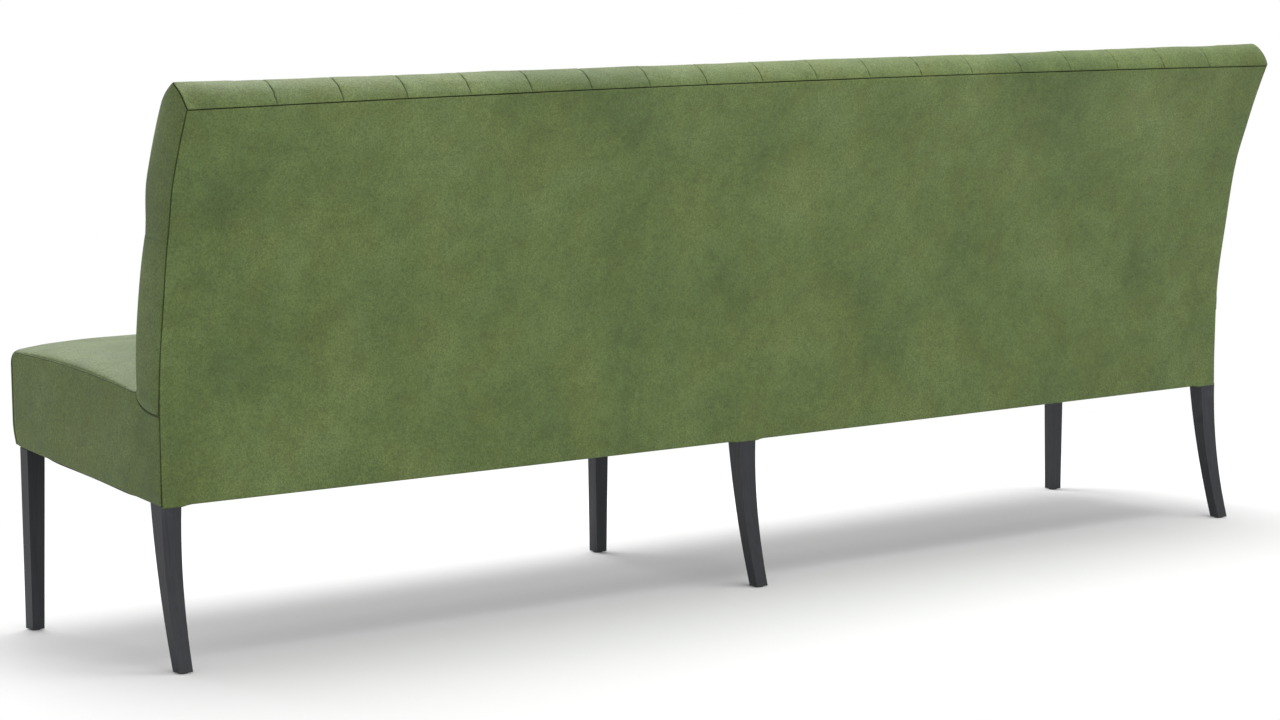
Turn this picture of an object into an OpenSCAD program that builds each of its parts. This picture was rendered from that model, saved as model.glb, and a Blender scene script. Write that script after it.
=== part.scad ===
// Upholstered banquette bench: a padded seat box on six wooden legs, with a flared back
// whose inside is sewn into upright channels that run over a rolled top.
// X runs along the bench (+X is the sitter's left), -Y is the front and +Z is up.
// The origin is on the floor, under the middle of the bench.

/* [Bench] */
// Length over the end panels
bench_len = 2400; // [1900:10:2800]
// Depth from the front of the seat to the top edge of the back
bench_depth = 576; // [540:2:620]
// Height of the rolled top
bench_height = 918; // [860:2:960]
// Thickness of the leather with its backing
cover_t = 2; // [1:0.5:3]
// Room between parts that touch loosely
gap = 0.3; // [0.2:0.1:0.5]

/* [Seat] */
// Height of the seat's lower edge at the front
front_edge_z = 307; // [290:1:330]
// Height of the seat's lower edge at the rear
rear_edge_z = 261; // [240:1:280]
// Height of the end seam at the front of the seat
front_seam_z = 461; // [440:1:480]
// Height of the end seam where it meets the back
rear_seam_z = 432; // [415:1:450]
// Rise of the seat's crown over its end seams
seat_crown = 30; // [15:1:40]
// Length over which the crown fades out towards each end
crown_fade = 150; // [80:5:250]
// Radius of the seat's front edges
seat_edge_r = 20; // [10:1:28]
// Radius of the seat's front corners, seen from above
seat_corner_r = 14; // [8:1:20]
// How far the front is drawn in at its lower edge
front_draw_in = 9; // [0:1:14]

/* [Back] */
// Height at which the back starts to flare
flare_z = 395; // [360:5:430]
// Radius of the flare
flare_r = 1132; // [900:10:1600]
// Radius of the rolled top
roll_r = 39; // [34:1:44]
// Depth of the stitch line across the inside of the back, under the rolled top
stitch_drop = 228; // [190:2:270]
// How far the rear of the rolled top is flattened, as a share of its radius
roll_flat_share = 0.08; // [0:0.01:0.15]
// The same at the two ends, where the roll is sewn to the end panels
end_flat_share = 0.24; // [0:0.01:0.3]
// Thickness of the back at the stitch line
dent_t = 67; // [62:1:72]
// How far the lower section swells over the stitch line
lower_swell = 8; // [2:1:12]
// Number of equal channels between the two end ones
mid_channels = 17; // [9:2:21]
// Width of each end channel as a share of a middle one
end_channel_share = 1.29; // [1:0.01:1.5]
// Depth of the channels between the puffs
channel_depth = 6; // [2:1:8]
// Height of the rounded lower corner of the back's end panels
panel_corner_h = 30; // [20:1:40]

/* [Legs] */
// Width of a front leg at its top
front_leg_w = 33; // [28:1:40]
// Width of a front leg at its foot
front_foot_w = 22; // [16:1:28]
// Depth of a front leg
front_leg_d = 23; // [20:1:28]
// Distance of the front legs behind the front of the seat
front_leg_setback = 32; // [29:1:40]
// Width of a rear leg at its top
rear_leg_w = 39; // [32:1:44]
// Width of a rear leg at its foot
rear_foot_w = 24; // [18:1:30]
// Depth of a rear leg at its top
rear_leg_d = 32; // [28:1:38]
// Depth of a rear leg at its foot
rear_foot_d = 21; // [18:1:26]
// How far a rear foot stands behind the top of its leg
rear_leg_sweep = 43; // [20:1:60]
// How much of the sweep the leg's front edge takes as a straight lean
front_lean_share = 0.5; // [0:0.05:1]
// Radius of a nylon glide
glide_r = 8; // [6:0.5:9]
// Height of a nylon glide
glide_h = 2; // [1.5:0.5:4]
// Radius of a glide's nail
glide_nail_r = 1.2; // [1:0.1:2]
// Length of a glide's nail
glide_nail_l = 14; // [10:1:20]
// Radius of a leg's hanger bolt
leg_bolt_r = 4; // [3:0.5:5]
// Length of a hanger bolt in the leg
leg_bolt_low = 40; // [30:1:50]
// Length of a hanger bolt in the rail
leg_bolt_up = 45; // [30:1:48]

/* [Frame] */
// Thickness of the seat's hardwood rails
rail_t = 25; // [22:1:26]
// Height of the seat's hardwood rails
rail_h = 90; // [75:1:95]
// Thickness of the back's plywood posts
post_t = 18; // [15:1:21]
// Depth of the posts behind the padding
post_d = 30; // [26:1:32]
// Depth of the posts' tongues inside the seat box
tongue_d = 35; // [30:1:36]
// Depth of the rails let into the posts
back_rail_d = 18; // [12:1:20]
// Height of the rails let into the posts
back_rail_h = 40; // [30:1:50]
// Height of the back's top rail
top_rail_h = 25; // [18:1:28]
// Length of the corner blocks' sides
corner_block = 60; // [40:1:70]
// Thickness of the liner board behind the outside back
liner_t = 2.8; // [2:0.2:3.6]
// Radius of the frame's screws
screw_r = 2.5; // [2:0.25:3]
// Radius of the screws' heads
screw_head_r = 5; // [4:0.5:6]
// Depth of the screws' sunk heads
screw_head_h = 3; // [2:0.5:4]
// How far a screw reaches into the end of a cross rail
screw_bite = 34; // [25:1:40]
// How far a post's screws reach into the rear rail
post_bite = 17; // [12:1:20]

/* [Springs and padding] */
// Diameter of the spring wire
wire_d = 3.4; // [3:0.1:4]
// Width of a zigzag spring
spring_w = 50; // [40:1:56]
// Number of turns of a spring
spring_turns = 17; // [13:2:19]
// Number of springs in a bay
springs_per_bay = 4; // [2:1:5]
// Thickness of the felt on the springs
felt_t = 3; // [2:0.5:4]
// Width of a webbing strap in the back
strap_w = 50; // [40:5:60]
// Thickness of the webbing
strap_t = 1.5; // [1:0.25:2]
// Straps in a bay
straps_per_bay = 3; // [2:1:4]
// Thickness of the sewn panels over the back's foam
panel_t = 6; // [4:1:8]
// Thickness of the dust cover under the seat
dust_t = 1; // [0.6:0.2:1.4]
// Length of a staple's crown
staple_l = 12; // [8:1:14]
// Thickness of a staple's wire
staple_t = 1.2; // [0.8:0.1:1.6]
// Staples along each long side
staples_per_side = 14; // [6:1:20]

/* [Hidden] */

// Smoothness of round parts
$fn = 32;
// Overrun of cuts past the faces they open
over = 5;
// Room over the top rail for its padding
top_pad = 8;
// Room between the posts' tongues and the foot of the padding
foot_clear = 15;
// Distance of the screws' rows from the bolts and from the rails' edges
screw_edge = 10;
// Steps along the flare of the back
flare_steps = 14;
// Steps round the rolled top
roll_steps = 5;
// Colours
leather_green = [0.39, 0.44, 0.28];
wood_black = [0.09, 0.09, 0.10];
wood_pale = [0.72, 0.58, 0.40];
ply_pale = [0.80, 0.68, 0.48];
foam_cream = [0.90, 0.86, 0.70];
cloth_black = [0.12, 0.12, 0.12];
steel = [0.60, 0.62, 0.65];

half_len = bench_len / 2;
front_y = -bench_depth / 2;
roll_z = bench_height - roll_r;
flare_run = flare_r - sqrt(pow(flare_r, 2) - pow(roll_z - flare_z, 2));
rear_base_y = bench_depth / 2 - flare_run;
roll_y = rear_base_y + flare_run - roll_r;

// Depths behind the outside back's face, layer by layer
liner_in = cover_t + gap;
frame_in = liner_in + liner_t + gap;
post_in = frame_in + post_d;
strap_in = post_in + gap;
foam_in = strap_in + strap_t + gap;

// The seat's lower edge rises towards the front
front_edge_y = front_y + front_draw_in;
rake_slope = (front_edge_z - rear_edge_z) / (rear_base_y - front_edge_y);
rake = atan(rake_slope);
inner_half = half_len - cover_t - gap;
stitch_z = bench_height - stitch_drop;
rail_front_y = front_y + front_leg_setback - (rail_t - front_leg_d) / 2;
rail_rear_y = rear_base_y - frame_in;
tongue_rear_y = rail_rear_y - rail_t - gap;
tongue_front_y = tongue_rear_y - tongue_d;
tongue_top_z = rear_edge_z + rail_h + tongue_d;
post_foot_z = rear_edge_z + rail_h + gap + (frame_in + rail_t) * rake_slope;
post_top_z = roll_z - gap - top_rail_h - top_pad;
padding_foot_z = tongue_top_z + foot_clear;
lower_rail_z = padding_foot_z + back_rail_h;
bolt_front_y = rail_front_y + rail_t / 2;
bolt_rear_y = rail_rear_y - rail_t / 2;
bolt_clear = 0.1;
nail_clear = 0.1;
leg_places = [1, 0, -1];

// Posts stand at the ends of the bays, and a cross rail under each inner one
half_bays = 2;
bays = 2 * half_bays;
bay_w = (inner_half - post_t / 2) / half_bays;
post_places = [for (i = [-half_bays : half_bays]) i * bay_w];
cross_places = [for (i = [1 - half_bays : half_bays - 1]) i * bay_w];
bay_middles = [for (i = [0 : bays - 1]) (i - (bays - 1) / 2) * bay_w];
// Places of a number of pieces, spread evenly over every bay
function in_bays(n) = [for (x = bay_middles, i = [0 : n - 1]) x + ((i + 1 / 2) / n - 1 / 2) * bay_w];

// Raked frame: heights over the seat's lower edge, measured square to it
rail_top_n = rail_h * cos(rake);
felt_n = rail_top_n + wire_d + gap;
foam_n = felt_n + felt_t + gap;

// Where a place along Y lies in the raked frame, at a height over the lower edge
function raked_y(y, n) = (y - rear_base_y - n * sin(rake)) / cos(rake);
function lower_edge(y) = rear_edge_z + (rear_base_y - y) * rake_slope;
function rear_face(z) =
    rear_base_y + (z > flare_z ? flare_r - sqrt(pow(flare_r, 2) - pow(z - flare_z, 2)) : 0);
function blend(a, b, t) = a + (b - a) * t;
function reversed(list) = [for (i = [len(list) - 1 : -1 : 0]) list[i]];

// Thickness of the back at height z, measured over the puffs
fade_z = (roll_z - stitch_z) / 2;
function back_t(z) = z > stitch_z
    ? blend(dent_t, 2 * roll_r, sin(90 * min(1, (z - stitch_z) / fade_z)))
    : dent_t + lower_swell * sin(180 * (stitch_z - z) / (stitch_z - rear_seam_z));

// The seat's end seam bows up by a share of the crown
seam_bow_share = 0.25;
// The seat's rear rests against the back, where its crown has sunk down
seat_back_z = rear_seam_z + seat_crown * seam_bow_share;
seat_rear_y = rear_face(seat_back_z) - back_t(seat_back_z) - gap;

// A point of the rolled top at an angle up from its rear, a skin under its surface
function roll_point(a, flat_share, skin = 0) = let (r = roll_r * (1 - flat_share * max(0, sin(2 * a))) - skin)
    [roll_y + r * cos(a), roll_z + r * sin(a)];

// A band of the back between two depths behind its rear face
function band(z0, z1, d0, d1) = concat(
    [for (i = [0 : flare_steps]) let (z = blend(z0, z1, i / flare_steps)) [rear_face(z) - d0, z]],
    [for (i = [flare_steps : -1 : 0]) let (z = blend(z0, z1, i / flare_steps)) [rear_face(z) - d1, z]]);

// Extrudes an outline of [y, z] points along X, about the given middle
module along_x(pts, length, middle = 0)
    translate([middle, 0, 0]) rotate([90, 0, 90]) linear_extrude(length, center = true) polygon(pts);

// Closed skin through rings of points, one ring after another along X
module loft(rings) {
    n = len(rings[0]);
    last = len(rings) - 1;
    polyhedron(
        points = [for (ring = rings) for (p = ring) p],
        faces = concat(
            [[for (j = [n - 1 : -1 : 0]) j]],
            [for (i = [0 : last - 1], j = [0 : n - 1]) [i * n + j, (i + 1) * n + (j + 1) % n, (i + 1) * n + j]],
            [for (i = [0 : last - 1], j = [0 : n - 1])
                [i * n + j, i * n + (j + 1) % n, (i + 1) * n + (j + 1) % n]],
            [[for (j = [0 : n - 1]) last * n + j]]));
}

// Places its children in the raked frame of the seat
module raked() translate([0, rear_base_y, rear_edge_z]) rotate([-rake, 0, 0]) children();

// Everything below a plane of the raked frame, between two places along Y
module below_raked(n, y0, y1)
    raked() translate([-half_len - over, y0 - rear_base_y, n - bench_height])
        cube([bench_len + 2 * over, y1 - y0, bench_height]);

// Legs

// A leg cut to both its views: its side outline, and its front outline of [x, z] points
module leg(side_pts, front_pts) difference() {
    intersection() {
        along_x(side_pts, bench_len + 2 * over);
        rotate([90, 0, 0]) linear_extrude(2 * bench_depth, center = true) polygon(front_pts);
    }
    children();
}

// Front view of a leg: straight outside, tapered inside, or tapered on both sides in the middle
function leg_front(side, top_w, foot_w, top_z) = side == 0
    ? [[-foot_w / 2, glide_h], [foot_w / 2, glide_h], [top_w / 2, top_z], [-top_w / 2, top_z]]
    : [[side * half_len, glide_h], [side * (half_len - foot_w), glide_h],
       [side * (half_len - top_w), top_z], [side * half_len, top_z]];

function foot_x(side, foot_w) = side * (half_len - foot_w / 2);
function bolt_x(side, top_w) = side * (half_len - top_w / 2);

front_leg_y = front_y + front_leg_setback;
function front_side() = [[front_leg_y, glide_h], [front_leg_y + front_leg_d, glide_h],
    [front_leg_y + front_leg_d, lower_edge(front_leg_y + front_leg_d)], [front_leg_y, lower_edge(front_leg_y)]];

// Rear legs curve backwards: each edge leans and bows towards the foot
leg_steps = 10;
front_sweep = rear_leg_sweep + rear_leg_d - rear_foot_d;
function sweep(share, lean_share) = lean_share * share + (1 - lean_share) * pow(share, 2);
function rear_side() = concat(
    [for (i = [0 : leg_steps]) let (s = i / leg_steps)
        [rear_base_y + rear_leg_sweep * sweep(s, 0), blend(rear_edge_z, glide_h, s)]],
    [for (i = [leg_steps : -1 : 0]) let (s = i / leg_steps)
        [rear_base_y - rear_leg_d + front_sweep * sweep(s, front_lean_share),
         blend(lower_edge(rear_base_y - rear_leg_d), glide_h, s)]]);
rear_foot_y = rear_base_y + rear_leg_sweep - rear_foot_d / 2;

module bolt_hole(x, y) translate([x, y, lower_edge(y) - leg_bolt_low - bolt_clear])
    cylinder(r = leg_bolt_r + bolt_clear, h = leg_bolt_low + leg_bolt_up + 2 * bolt_clear);
module nail_hole(x, y) translate([x, y, 0])
    cylinder(r = glide_nail_r + nail_clear, h = glide_h + glide_nail_l + nail_clear);

module front_leg(side) color(wood_black)
    leg(front_side(), leg_front(side, front_leg_w, front_foot_w, front_edge_z)) {
    bolt_hole(bolt_x(side, front_leg_w), bolt_front_y);
    nail_hole(foot_x(side, front_foot_w), front_leg_y + front_leg_d / 2);
}
module rear_leg(side) color(wood_black)
    leg(rear_side(), leg_front(side, rear_leg_w, rear_foot_w, front_edge_z)) {
    bolt_hole(bolt_x(side, rear_leg_w), bolt_rear_y);
    nail_hole(foot_x(side, rear_foot_w), rear_foot_y);
}

module glide(x, y) translate([x, y, 0]) {
    cylinder(r = glide_r, h = glide_h);
    cylinder(r = glide_nail_r, h = glide_h + glide_nail_l);
}
module foot_glides() color("white") for (side = leg_places) {
    glide(foot_x(side, front_foot_w), front_leg_y + front_leg_d / 2);
    glide(foot_x(side, rear_foot_w), rear_foot_y);
}

module leg_bolt(x, y) translate([x, y, lower_edge(y) - leg_bolt_low])
    cylinder(r = leg_bolt_r, h = leg_bolt_low + leg_bolt_up);
module leg_bolts() color(steel) for (side = leg_places) {
    leg_bolt(bolt_x(side, front_leg_w), bolt_front_y);
    leg_bolt(bolt_x(side, rear_leg_w), bolt_rear_y);
}

// Seat frame

// Outline of a seat rail between two places along Y, following the rake
function rail_side(y0, y1) = [[y0, lower_edge(y0)], [y1, lower_edge(y1)],
    [y1, lower_edge(y1) + rail_h], [y0, lower_edge(y0) + rail_h]];

rail_back_y = rail_front_y + rail_t;
screw_rows = [leg_bolt_up + screw_edge, rail_h - screw_edge];
lengthwise_x = concat([for (side = [-1, 1]) side * (inner_half - rail_t / 2)], cross_places);

// A sunk screw along Y, with its head at the given place and its point to the rear
module screw_y(x, y, z, length, clear = 0) translate([x, y, z]) rotate([-90, 0, 0]) {
    cylinder(r = screw_r + clear, h = length + clear);
    cylinder(r = screw_head_r + clear, h = screw_head_h + clear);
}
module front_screws(clear = 0) for (x = lengthwise_x, row = screw_rows)
    screw_y(x, rail_front_y, lower_edge(rail_front_y) + row, rail_t + screw_bite, clear);
// The posts are screwed to the rear rail through their tongues, from the front
module tongue_screws(clear = 0) for (x = post_places, row = screw_rows)
    screw_y(x, tongue_front_y, lower_edge(tongue_front_y) + row, tongue_d + post_bite, clear);

module rail_screws() color(steel) front_screws();
module post_screws() color(steel) tongue_screws();

module front_rail() color(wood_pale) difference() {
    along_x(rail_side(rail_front_y, rail_back_y), 2 * inner_half);
    for (side = leg_places) bolt_hole(bolt_x(side, front_leg_w), bolt_front_y);
    front_screws(bolt_clear);
}
module rear_rail() color(wood_pale) difference() {
    along_x(rail_side(rail_rear_y - rail_t, rail_rear_y), 2 * inner_half);
    for (side = leg_places) bolt_hole(bolt_x(side, rear_leg_w), bolt_rear_y);
    tongue_screws(bolt_clear);
}
module lengthwise_rail(x) color(wood_pale) difference() {
    along_x(rail_side(rail_back_y, tongue_front_y), rail_t, x);
    front_screws(bolt_clear);
}
module end_rail(side) lengthwise_rail(side * (inner_half - rail_t / 2));
module cross_rail(i) lengthwise_rail(i * bay_w);

// Three-cornered blocks glued into the corners of the seat frame
module corner_blocks() color(wood_pale) for (side = [-1, 1]) {
    front_x = side * (inner_half - rail_t);
    rear_x = side * (inner_half - max(rail_t, post_t));
    corner_block(front_x, rail_back_y, -side, 1);
    corner_block(rear_x, tongue_front_y, -side, -1);
}
module corner_block(x, y, way_x, way_y) intersection() {
    translate([x, y, 0]) linear_extrude(bench_height)
        polygon([[0, 0], [way_x * corner_block, 0], [0, way_y * corner_block]]);
    along_x(rail_side(y - corner_block - over, y + corner_block + over), bench_len);
}

// Seat springs and what lies on them

spring_y0 = raked_y(bolt_front_y, rail_top_n);
spring_y1 = raked_y(bolt_rear_y, rail_top_n);
spring_len = spring_y1 - spring_y0;
spring_y = (spring_y0 + spring_y1) / 2;
spring_pitch = spring_len / spring_turns;
spring_r = spring_pitch / 2;
spring_x = in_bays(springs_per_bay);

// Half a ring of wire, on its +X side where way is above zero and else on its -X side
module half_turn(way) intersection() {
    difference() {
        circle(r = spring_r + wire_d / 2);
        circle(r = spring_r - wire_d / 2);
    }
    translate([way > 0 ? 0 : -spring_pitch, -spring_pitch]) square([spring_pitch, 2 * spring_pitch]);
}
module spring_outline() translate([0, -spring_len / 2]) {
    for (i = [0 : spring_turns])
        translate([-spring_w / 2 + spring_r, i * spring_pitch - wire_d / 2])
            square([spring_w - 2 * spring_r, wire_d]);
    for (i = [0 : spring_turns - 1]) let (way = i % 2 == 0 ? 1 : -1)
        translate([way * (spring_w / 2 - spring_r), (i + 1 / 2) * spring_pitch]) half_turn(way);
}
module seat_springs() color(steel) raked() for (x = spring_x)
    translate([x, spring_y, rail_top_n]) linear_extrude(wire_d) spring_outline();

// Clips on the rails hold the first and the last wire of each spring
clip_w = 16;
clip_d = 11;
clip_wall = 1.6;
module spring_clip() difference() {
    translate([-clip_w / 2, -clip_d / 2, 0]) cube([clip_w, clip_d, wire_d + clip_wall]);
    translate([-clip_w, -wire_d / 2 - bolt_clear, -over])
        cube([2 * clip_w, wire_d + 2 * bolt_clear, wire_d + over + bolt_clear]);
}
module spring_clips() color("white") raked() for (x = spring_x, end = [-1, 1])
    translate([x, spring_y + end * spring_len / 2, rail_top_n]) spring_clip();

felt_y0 = raked_y(rail_back_y, felt_n);
felt_y1 = raked_y(seat_rear_y - cover_t, felt_n);
module seat_felt() color(cloth_black) raked()
    translate([-inner_half, felt_y0, felt_n]) cube([2 * inner_half, felt_y1 - felt_y0, felt_t]);

// The seat's padded body

crown_power_share = 0.5;
front_fade = seat_edge_r * 2;
// Share of the full crown at a place along and across the seat
function crown_x(x) = pow(sin(90 * max(0, min(1, (half_len - abs(x)) / crown_fade))), crown_power_share);
function crown_y(s) = pow(max(0, sin(180 * s)), crown_power_share);
function seam_line(s) = blend(front_seam_z, rear_seam_z, s) + seat_crown * seam_bow_share * sin(180 * s);
// The front corner is round, seen from above
function corner_in(x) = let (d = max(0, min(seat_corner_r, abs(x) - half_len + seat_corner_r)))
    seat_corner_r - sqrt(pow(seat_corner_r, 2) - pow(d, 2));
function draw_in(z) = front_draw_in * (1 - sin(90 * max(0, min(1, (z - front_edge_z) / front_fade))));

edge_steps = 4;
top_steps = 8;
face_shares = [0.12, 0.28, 0.6];
// The crown has sunk this far when it meets the back
rear_dip_share = 0.96;
// One ring of the seat's body at x, drawn in by a skin on its outside
function seat_ring(x, skin, drop) = let (
        y0 = front_y + corner_in(x) + skin,
        y1 = seat_rear_y - skin,
        shoulder_z = front_seam_z - seat_edge_r,
        lift = seat_crown * crown_x(x))
    concat(
        [[x, y0 + draw_in(front_edge_z), front_edge_z - drop]],
        [for (s = face_shares) let (z = blend(front_edge_z, shoulder_z, s)) [x, y0 + draw_in(z), z]],
        [for (i = [0 : edge_steps]) let (a = 90 * i / edge_steps, s = (1 - cos(a)) * seat_edge_r / (y1 - y0))
            [x, y0 + (1 - cos(a)) * seat_edge_r,
             shoulder_z + (seat_edge_r + lift * crown_y(s)) * sin(a) - skin * sin(a)]],
        [for (i = [1 : top_steps]) let (s = blend(seat_edge_r / (y1 - y0), 1, i / top_steps))
            [x, blend(y0, y1, s), seam_line(s) + lift * crown_y(min(s, rear_dip_share)) - skin]],
        [[x, y1, lower_edge(y1) - drop]]);

// Rings stand closer towards the ends, over the length in which the crown fades out
end_shares = [0.014, 0.05, 0.11, 0.22, 0.42, 0.7, 1];
function seat_stations(reach) = let (ends = concat([reach], [for (s = end_shares) inner_half - s * crown_fade]))
    concat([for (x = ends) -x], reversed(ends));
module seat_body(reach, skin, drop = 0) loft([for (x = seat_stations(reach)) seat_ring(x, skin, drop)]);

module seat_foam() color(foam_cream) difference() {
    seat_body(inner_half, cover_t + gap);
    below_raked(foam_n, front_y - bench_depth, rear_base_y);
}
module seat_front_padding() color(foam_cream) intersection() {
    seat_body(inner_half, cover_t + gap);
    below_raked(foam_n - gap, front_y - over, rail_front_y - gap);
    translate([-half_len, front_y - over, 0])
        cube([bench_len, rail_front_y - gap - front_y + over, bench_height]);
}
module seat_cover() color(leather_green) difference() {
    seat_body(half_len - cover_t, 0);
    seat_body(half_len + over, cover_t, over);
    below_raked(foam_n, rail_front_y, rear_base_y);
}

// The end panels share the ring's outline at the very end, cut clear of the back's end panel
function seat_end_outline() = concat(
    [for (p = seat_ring(half_len, 0, 0)) if (p[1] < seat_rear_y - over) [p[1], p[2]]],
    [[rear_face(rear_seam_z) - back_t(rear_seam_z) - gap, rear_seam_z]],
    panel_corner(gap),
    [[rear_base_y, rear_edge_z]]);
// The rounded lower corner of the back's end panels, moved down by a gap
corner_steps = 8;
function panel_corner(drop) = let (reach = back_t(rear_seam_z) - (rear_face(rear_seam_z) - rear_base_y))
    [for (i = [0 : corner_steps]) let (a = 90 * i / corner_steps)
        [rear_base_y - reach * cos(a) - drop * cos(a), rear_seam_z - panel_corner_h * sin(a) - drop]];
module seat_end_panel(side) color(leather_green)
    along_x(seat_end_outline(), cover_t, side * (half_len - cover_t / 2));

// Under the seat

dust_inset = 9;
dust_clear = 1;
module dust_cover() color(cloth_black) difference() {
    raked() translate([-half_len + dust_inset, front_edge_y - rear_base_y + rail_t, -dust_t - gap])
        cube([bench_len - 2 * dust_inset, rear_base_y - front_edge_y - rail_t - dust_inset, dust_t]);
    for (side = leg_places) {
        leg_notch(bolt_x(side, front_leg_w), front_leg_y + front_leg_d / 2, front_leg_w, front_leg_d);
        leg_notch(bolt_x(side, rear_leg_w), rear_base_y - rear_leg_d / 2, rear_leg_w, rear_leg_d);
    }
}
module leg_notch(x, y, w, d) translate([x, y, 0]) linear_extrude(bench_height)
    square([w + 2 * dust_clear, d + 2 * dust_clear], center = true);
// Staples lie under the dust cover in two rows, on both sides of the middle legs
staple_inset = 8;
half_row = staples_per_side / 2;
staple_first_x = rear_leg_w + staple_l;
staple_last_x = half_len - rear_leg_w - 2 * staple_l;
staple_x = [for (side = [-1, 1], i = [0 : half_row - 1])
            side * blend(staple_first_x, staple_last_x, i / half_row)];
module dust_cover_staples() color(steel) raked() for (x = staple_x, y = [rail_back_y, rail_rear_y])
    translate([x - staple_l / 2, y - staple_inset - rear_base_y, -dust_t - 2 * gap - staple_t])
        cube([staple_l, staple_t, staple_t]);

// Back frame

// A post curves with the back; its tongue goes down inside the seat box, over the rear rail
function post_outline() = concat(
    [[rail_rear_y, post_foot_z]],
    [for (i = [1 : flare_steps]) let (z = blend(post_foot_z, post_top_z, i / flare_steps))
        [rear_face(z) - frame_in, z]],
    [for (i = [flare_steps : -1 : 0]) let (z = blend(padding_foot_z, post_top_z, i / flare_steps))
        [rear_face(z) - post_in, z]],
    [[tongue_front_y, tongue_top_z - tongue_d / 2],
     [tongue_front_y, lower_edge(tongue_front_y)],
     [tongue_rear_y, lower_edge(tongue_rear_y)],
     [tongue_rear_y, post_foot_z]]);
module post(x) color(ply_pale) difference() {
    along_x(post_outline(), post_t, x);
    for (z = [lower_rail_z, stitch_z - back_rail_h / 2])
        along_x(band(z - gap, z + back_rail_h + gap, post_in - back_rail_d - gap, post_in + over),
                post_t + 2 * over, x);
    tongue_screws(bolt_clear);
}
module back_post(side) post(side * (inner_half - post_t / 2));
module back_rib(i) post(i * bay_w);

module back_top_rail() color(wood_pale)
    along_x(band(post_top_z + gap, post_top_z + gap + top_rail_h, frame_in, post_in), 2 * inner_half);
module let_in_rail(z) color(wood_pale)
    along_x(band(z, z + back_rail_h, post_in - back_rail_d, post_in), 2 * inner_half);
module back_middle_rail() let_in_rail(stitch_z - back_rail_h / 2);
module back_lower_rail() let_in_rail(lower_rail_z);

// Webbing runs up from the lower rail to the top rail
module back_webbing() color(cloth_black) for (x = in_bays(straps_per_bay))
    along_x(band(lower_rail_z + gap, post_top_z + top_rail_h, strap_in, strap_in + strap_t), strap_w, x);

// Back padding

// A point on the front of the back, or round its roll, lying a skin under its surface:
// s runs from 0 at the stitch line to 1 at the foot of the roll, and on to 2 at the rear seam
front_steps = 4;
panel_s = concat([for (i = [0 : front_steps - 1]) i / front_steps],
    [for (i = [0 : roll_steps]) 1 + i / roll_steps]);
function front_point(s, skin) = s < 1
    ? let (z = blend(stitch_z + gap, roll_z, s)) [rear_face(z) - back_t(z) + skin, z]
    : roll_point(180 * (2 - s), roll_flat_share, skin);
// The smooth underside of the sewn panel, and the foam under it
under_s = [0, 1 / 2, 1, 1 + 1 / 3, 1 + 2 / 3, 2];
function under_panel(skin) = [for (s = under_s) front_point(s, skin)];

foam_skin = panel_t + channel_depth + gap;
rail_top_z = post_top_z + top_rail_h;
module back_foam_upper() color(foam_cream)
    along_x(concat(under_panel(foam_skin),
        [[roll_y + roll_r - foam_skin, rail_top_z + 2 * gap]],
        [[rear_face(rail_top_z) - foam_in, rail_top_z + 2 * gap]],
        [for (i = [flare_steps : -1 : 0]) let (z = blend(stitch_z + gap, rail_top_z, i / flare_steps))
            [rear_face(z) - foam_in, z]]),
        2 * inner_half);

lower_z = [for (i = [0 : flare_steps]) blend(padding_foot_z, stitch_z - gap, i / flare_steps)];
function lower_front(skin) = [for (z = lower_z) [rear_face(z) - back_t(z) + skin, z]];
function lower_rear(depth) = [for (z = lower_z) [rear_face(z) - depth, z]];
module back_foam_lower() color(foam_cream)
    along_x(concat(lower_front(panel_t + gap), reversed(lower_rear(foam_in))), 2 * inner_half);
module inside_back_lower() color(leather_green)
    along_x(concat(lower_front(0), reversed(lower_front(panel_t))), 2 * inner_half);

// The sewn channels: a seam at each side of a channel, and a puff between
panel_half = half_len - cover_t;
channel_w = 2 * panel_half / (mid_channels + 2 * end_channel_share);
end_w = channel_w * end_channel_share;
channel_edges = concat([-panel_half],
    [for (i = [0 : mid_channels]) -panel_half + end_w + i * channel_w], [panel_half]);
puff_shares = [0, 0.12, 0.5, 0.88];
puff_power_share = 0.6;
function puff(u) = pow(max(0, sin(180 * u)), puff_power_share);
// The first and the last place lie past the ends of the panel, where it is cut off
function channel_stations() = concat([[-panel_half - over, 0]],
    [for (i = [0 : len(channel_edges) - 2], u = puff_shares) if (i + u > 0)
        [blend(channel_edges[i], channel_edges[i + 1], u), puff(u)]], [[panel_half + over, 0]]);
// The channels fade out at the stitch line and at the rear seam
function channel_fade(s) = sin(90 * min(1, s * front_steps / 2, (2 - s) * roll_steps / 2));
function channel_ring(x, share) = concat(
    [for (s = panel_s) let (p = front_point(s, channel_depth * (1 - share) * channel_fade(s))) [x, p[0], p[1]]],
    [for (p = reversed(under_panel(panel_t + channel_depth))) [x, p[0], p[1]]]);
module inside_back_channels() color(leather_green) intersection() {
    loft([for (st = channel_stations()) channel_ring(st[0], st[1])]);
    translate([-panel_half, -bench_depth, stitch_z]) cube([2 * panel_half, 2 * bench_depth, bench_height]);
}

// Ends and outside of the back
function back_end_outline() = concat(
    panel_corner(0),
    [for (i = [1 : flare_steps]) let (z = blend(rear_seam_z - panel_corner_h, roll_z, i / flare_steps))
        [rear_face(z), z]],
    [for (i = [1 : 2 * roll_steps]) roll_point(180 * i / (2 * roll_steps), end_flat_share)],
    [for (i = [1 : 2 * flare_steps - 1]) let (z = blend(roll_z, rear_seam_z, i / (2 * flare_steps)))
        [rear_face(z) - back_t(z), z]]);
module back_end_panel(side) color(leather_green)
    along_x(back_end_outline(), cover_t, side * (half_len - cover_t / 2));

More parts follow.
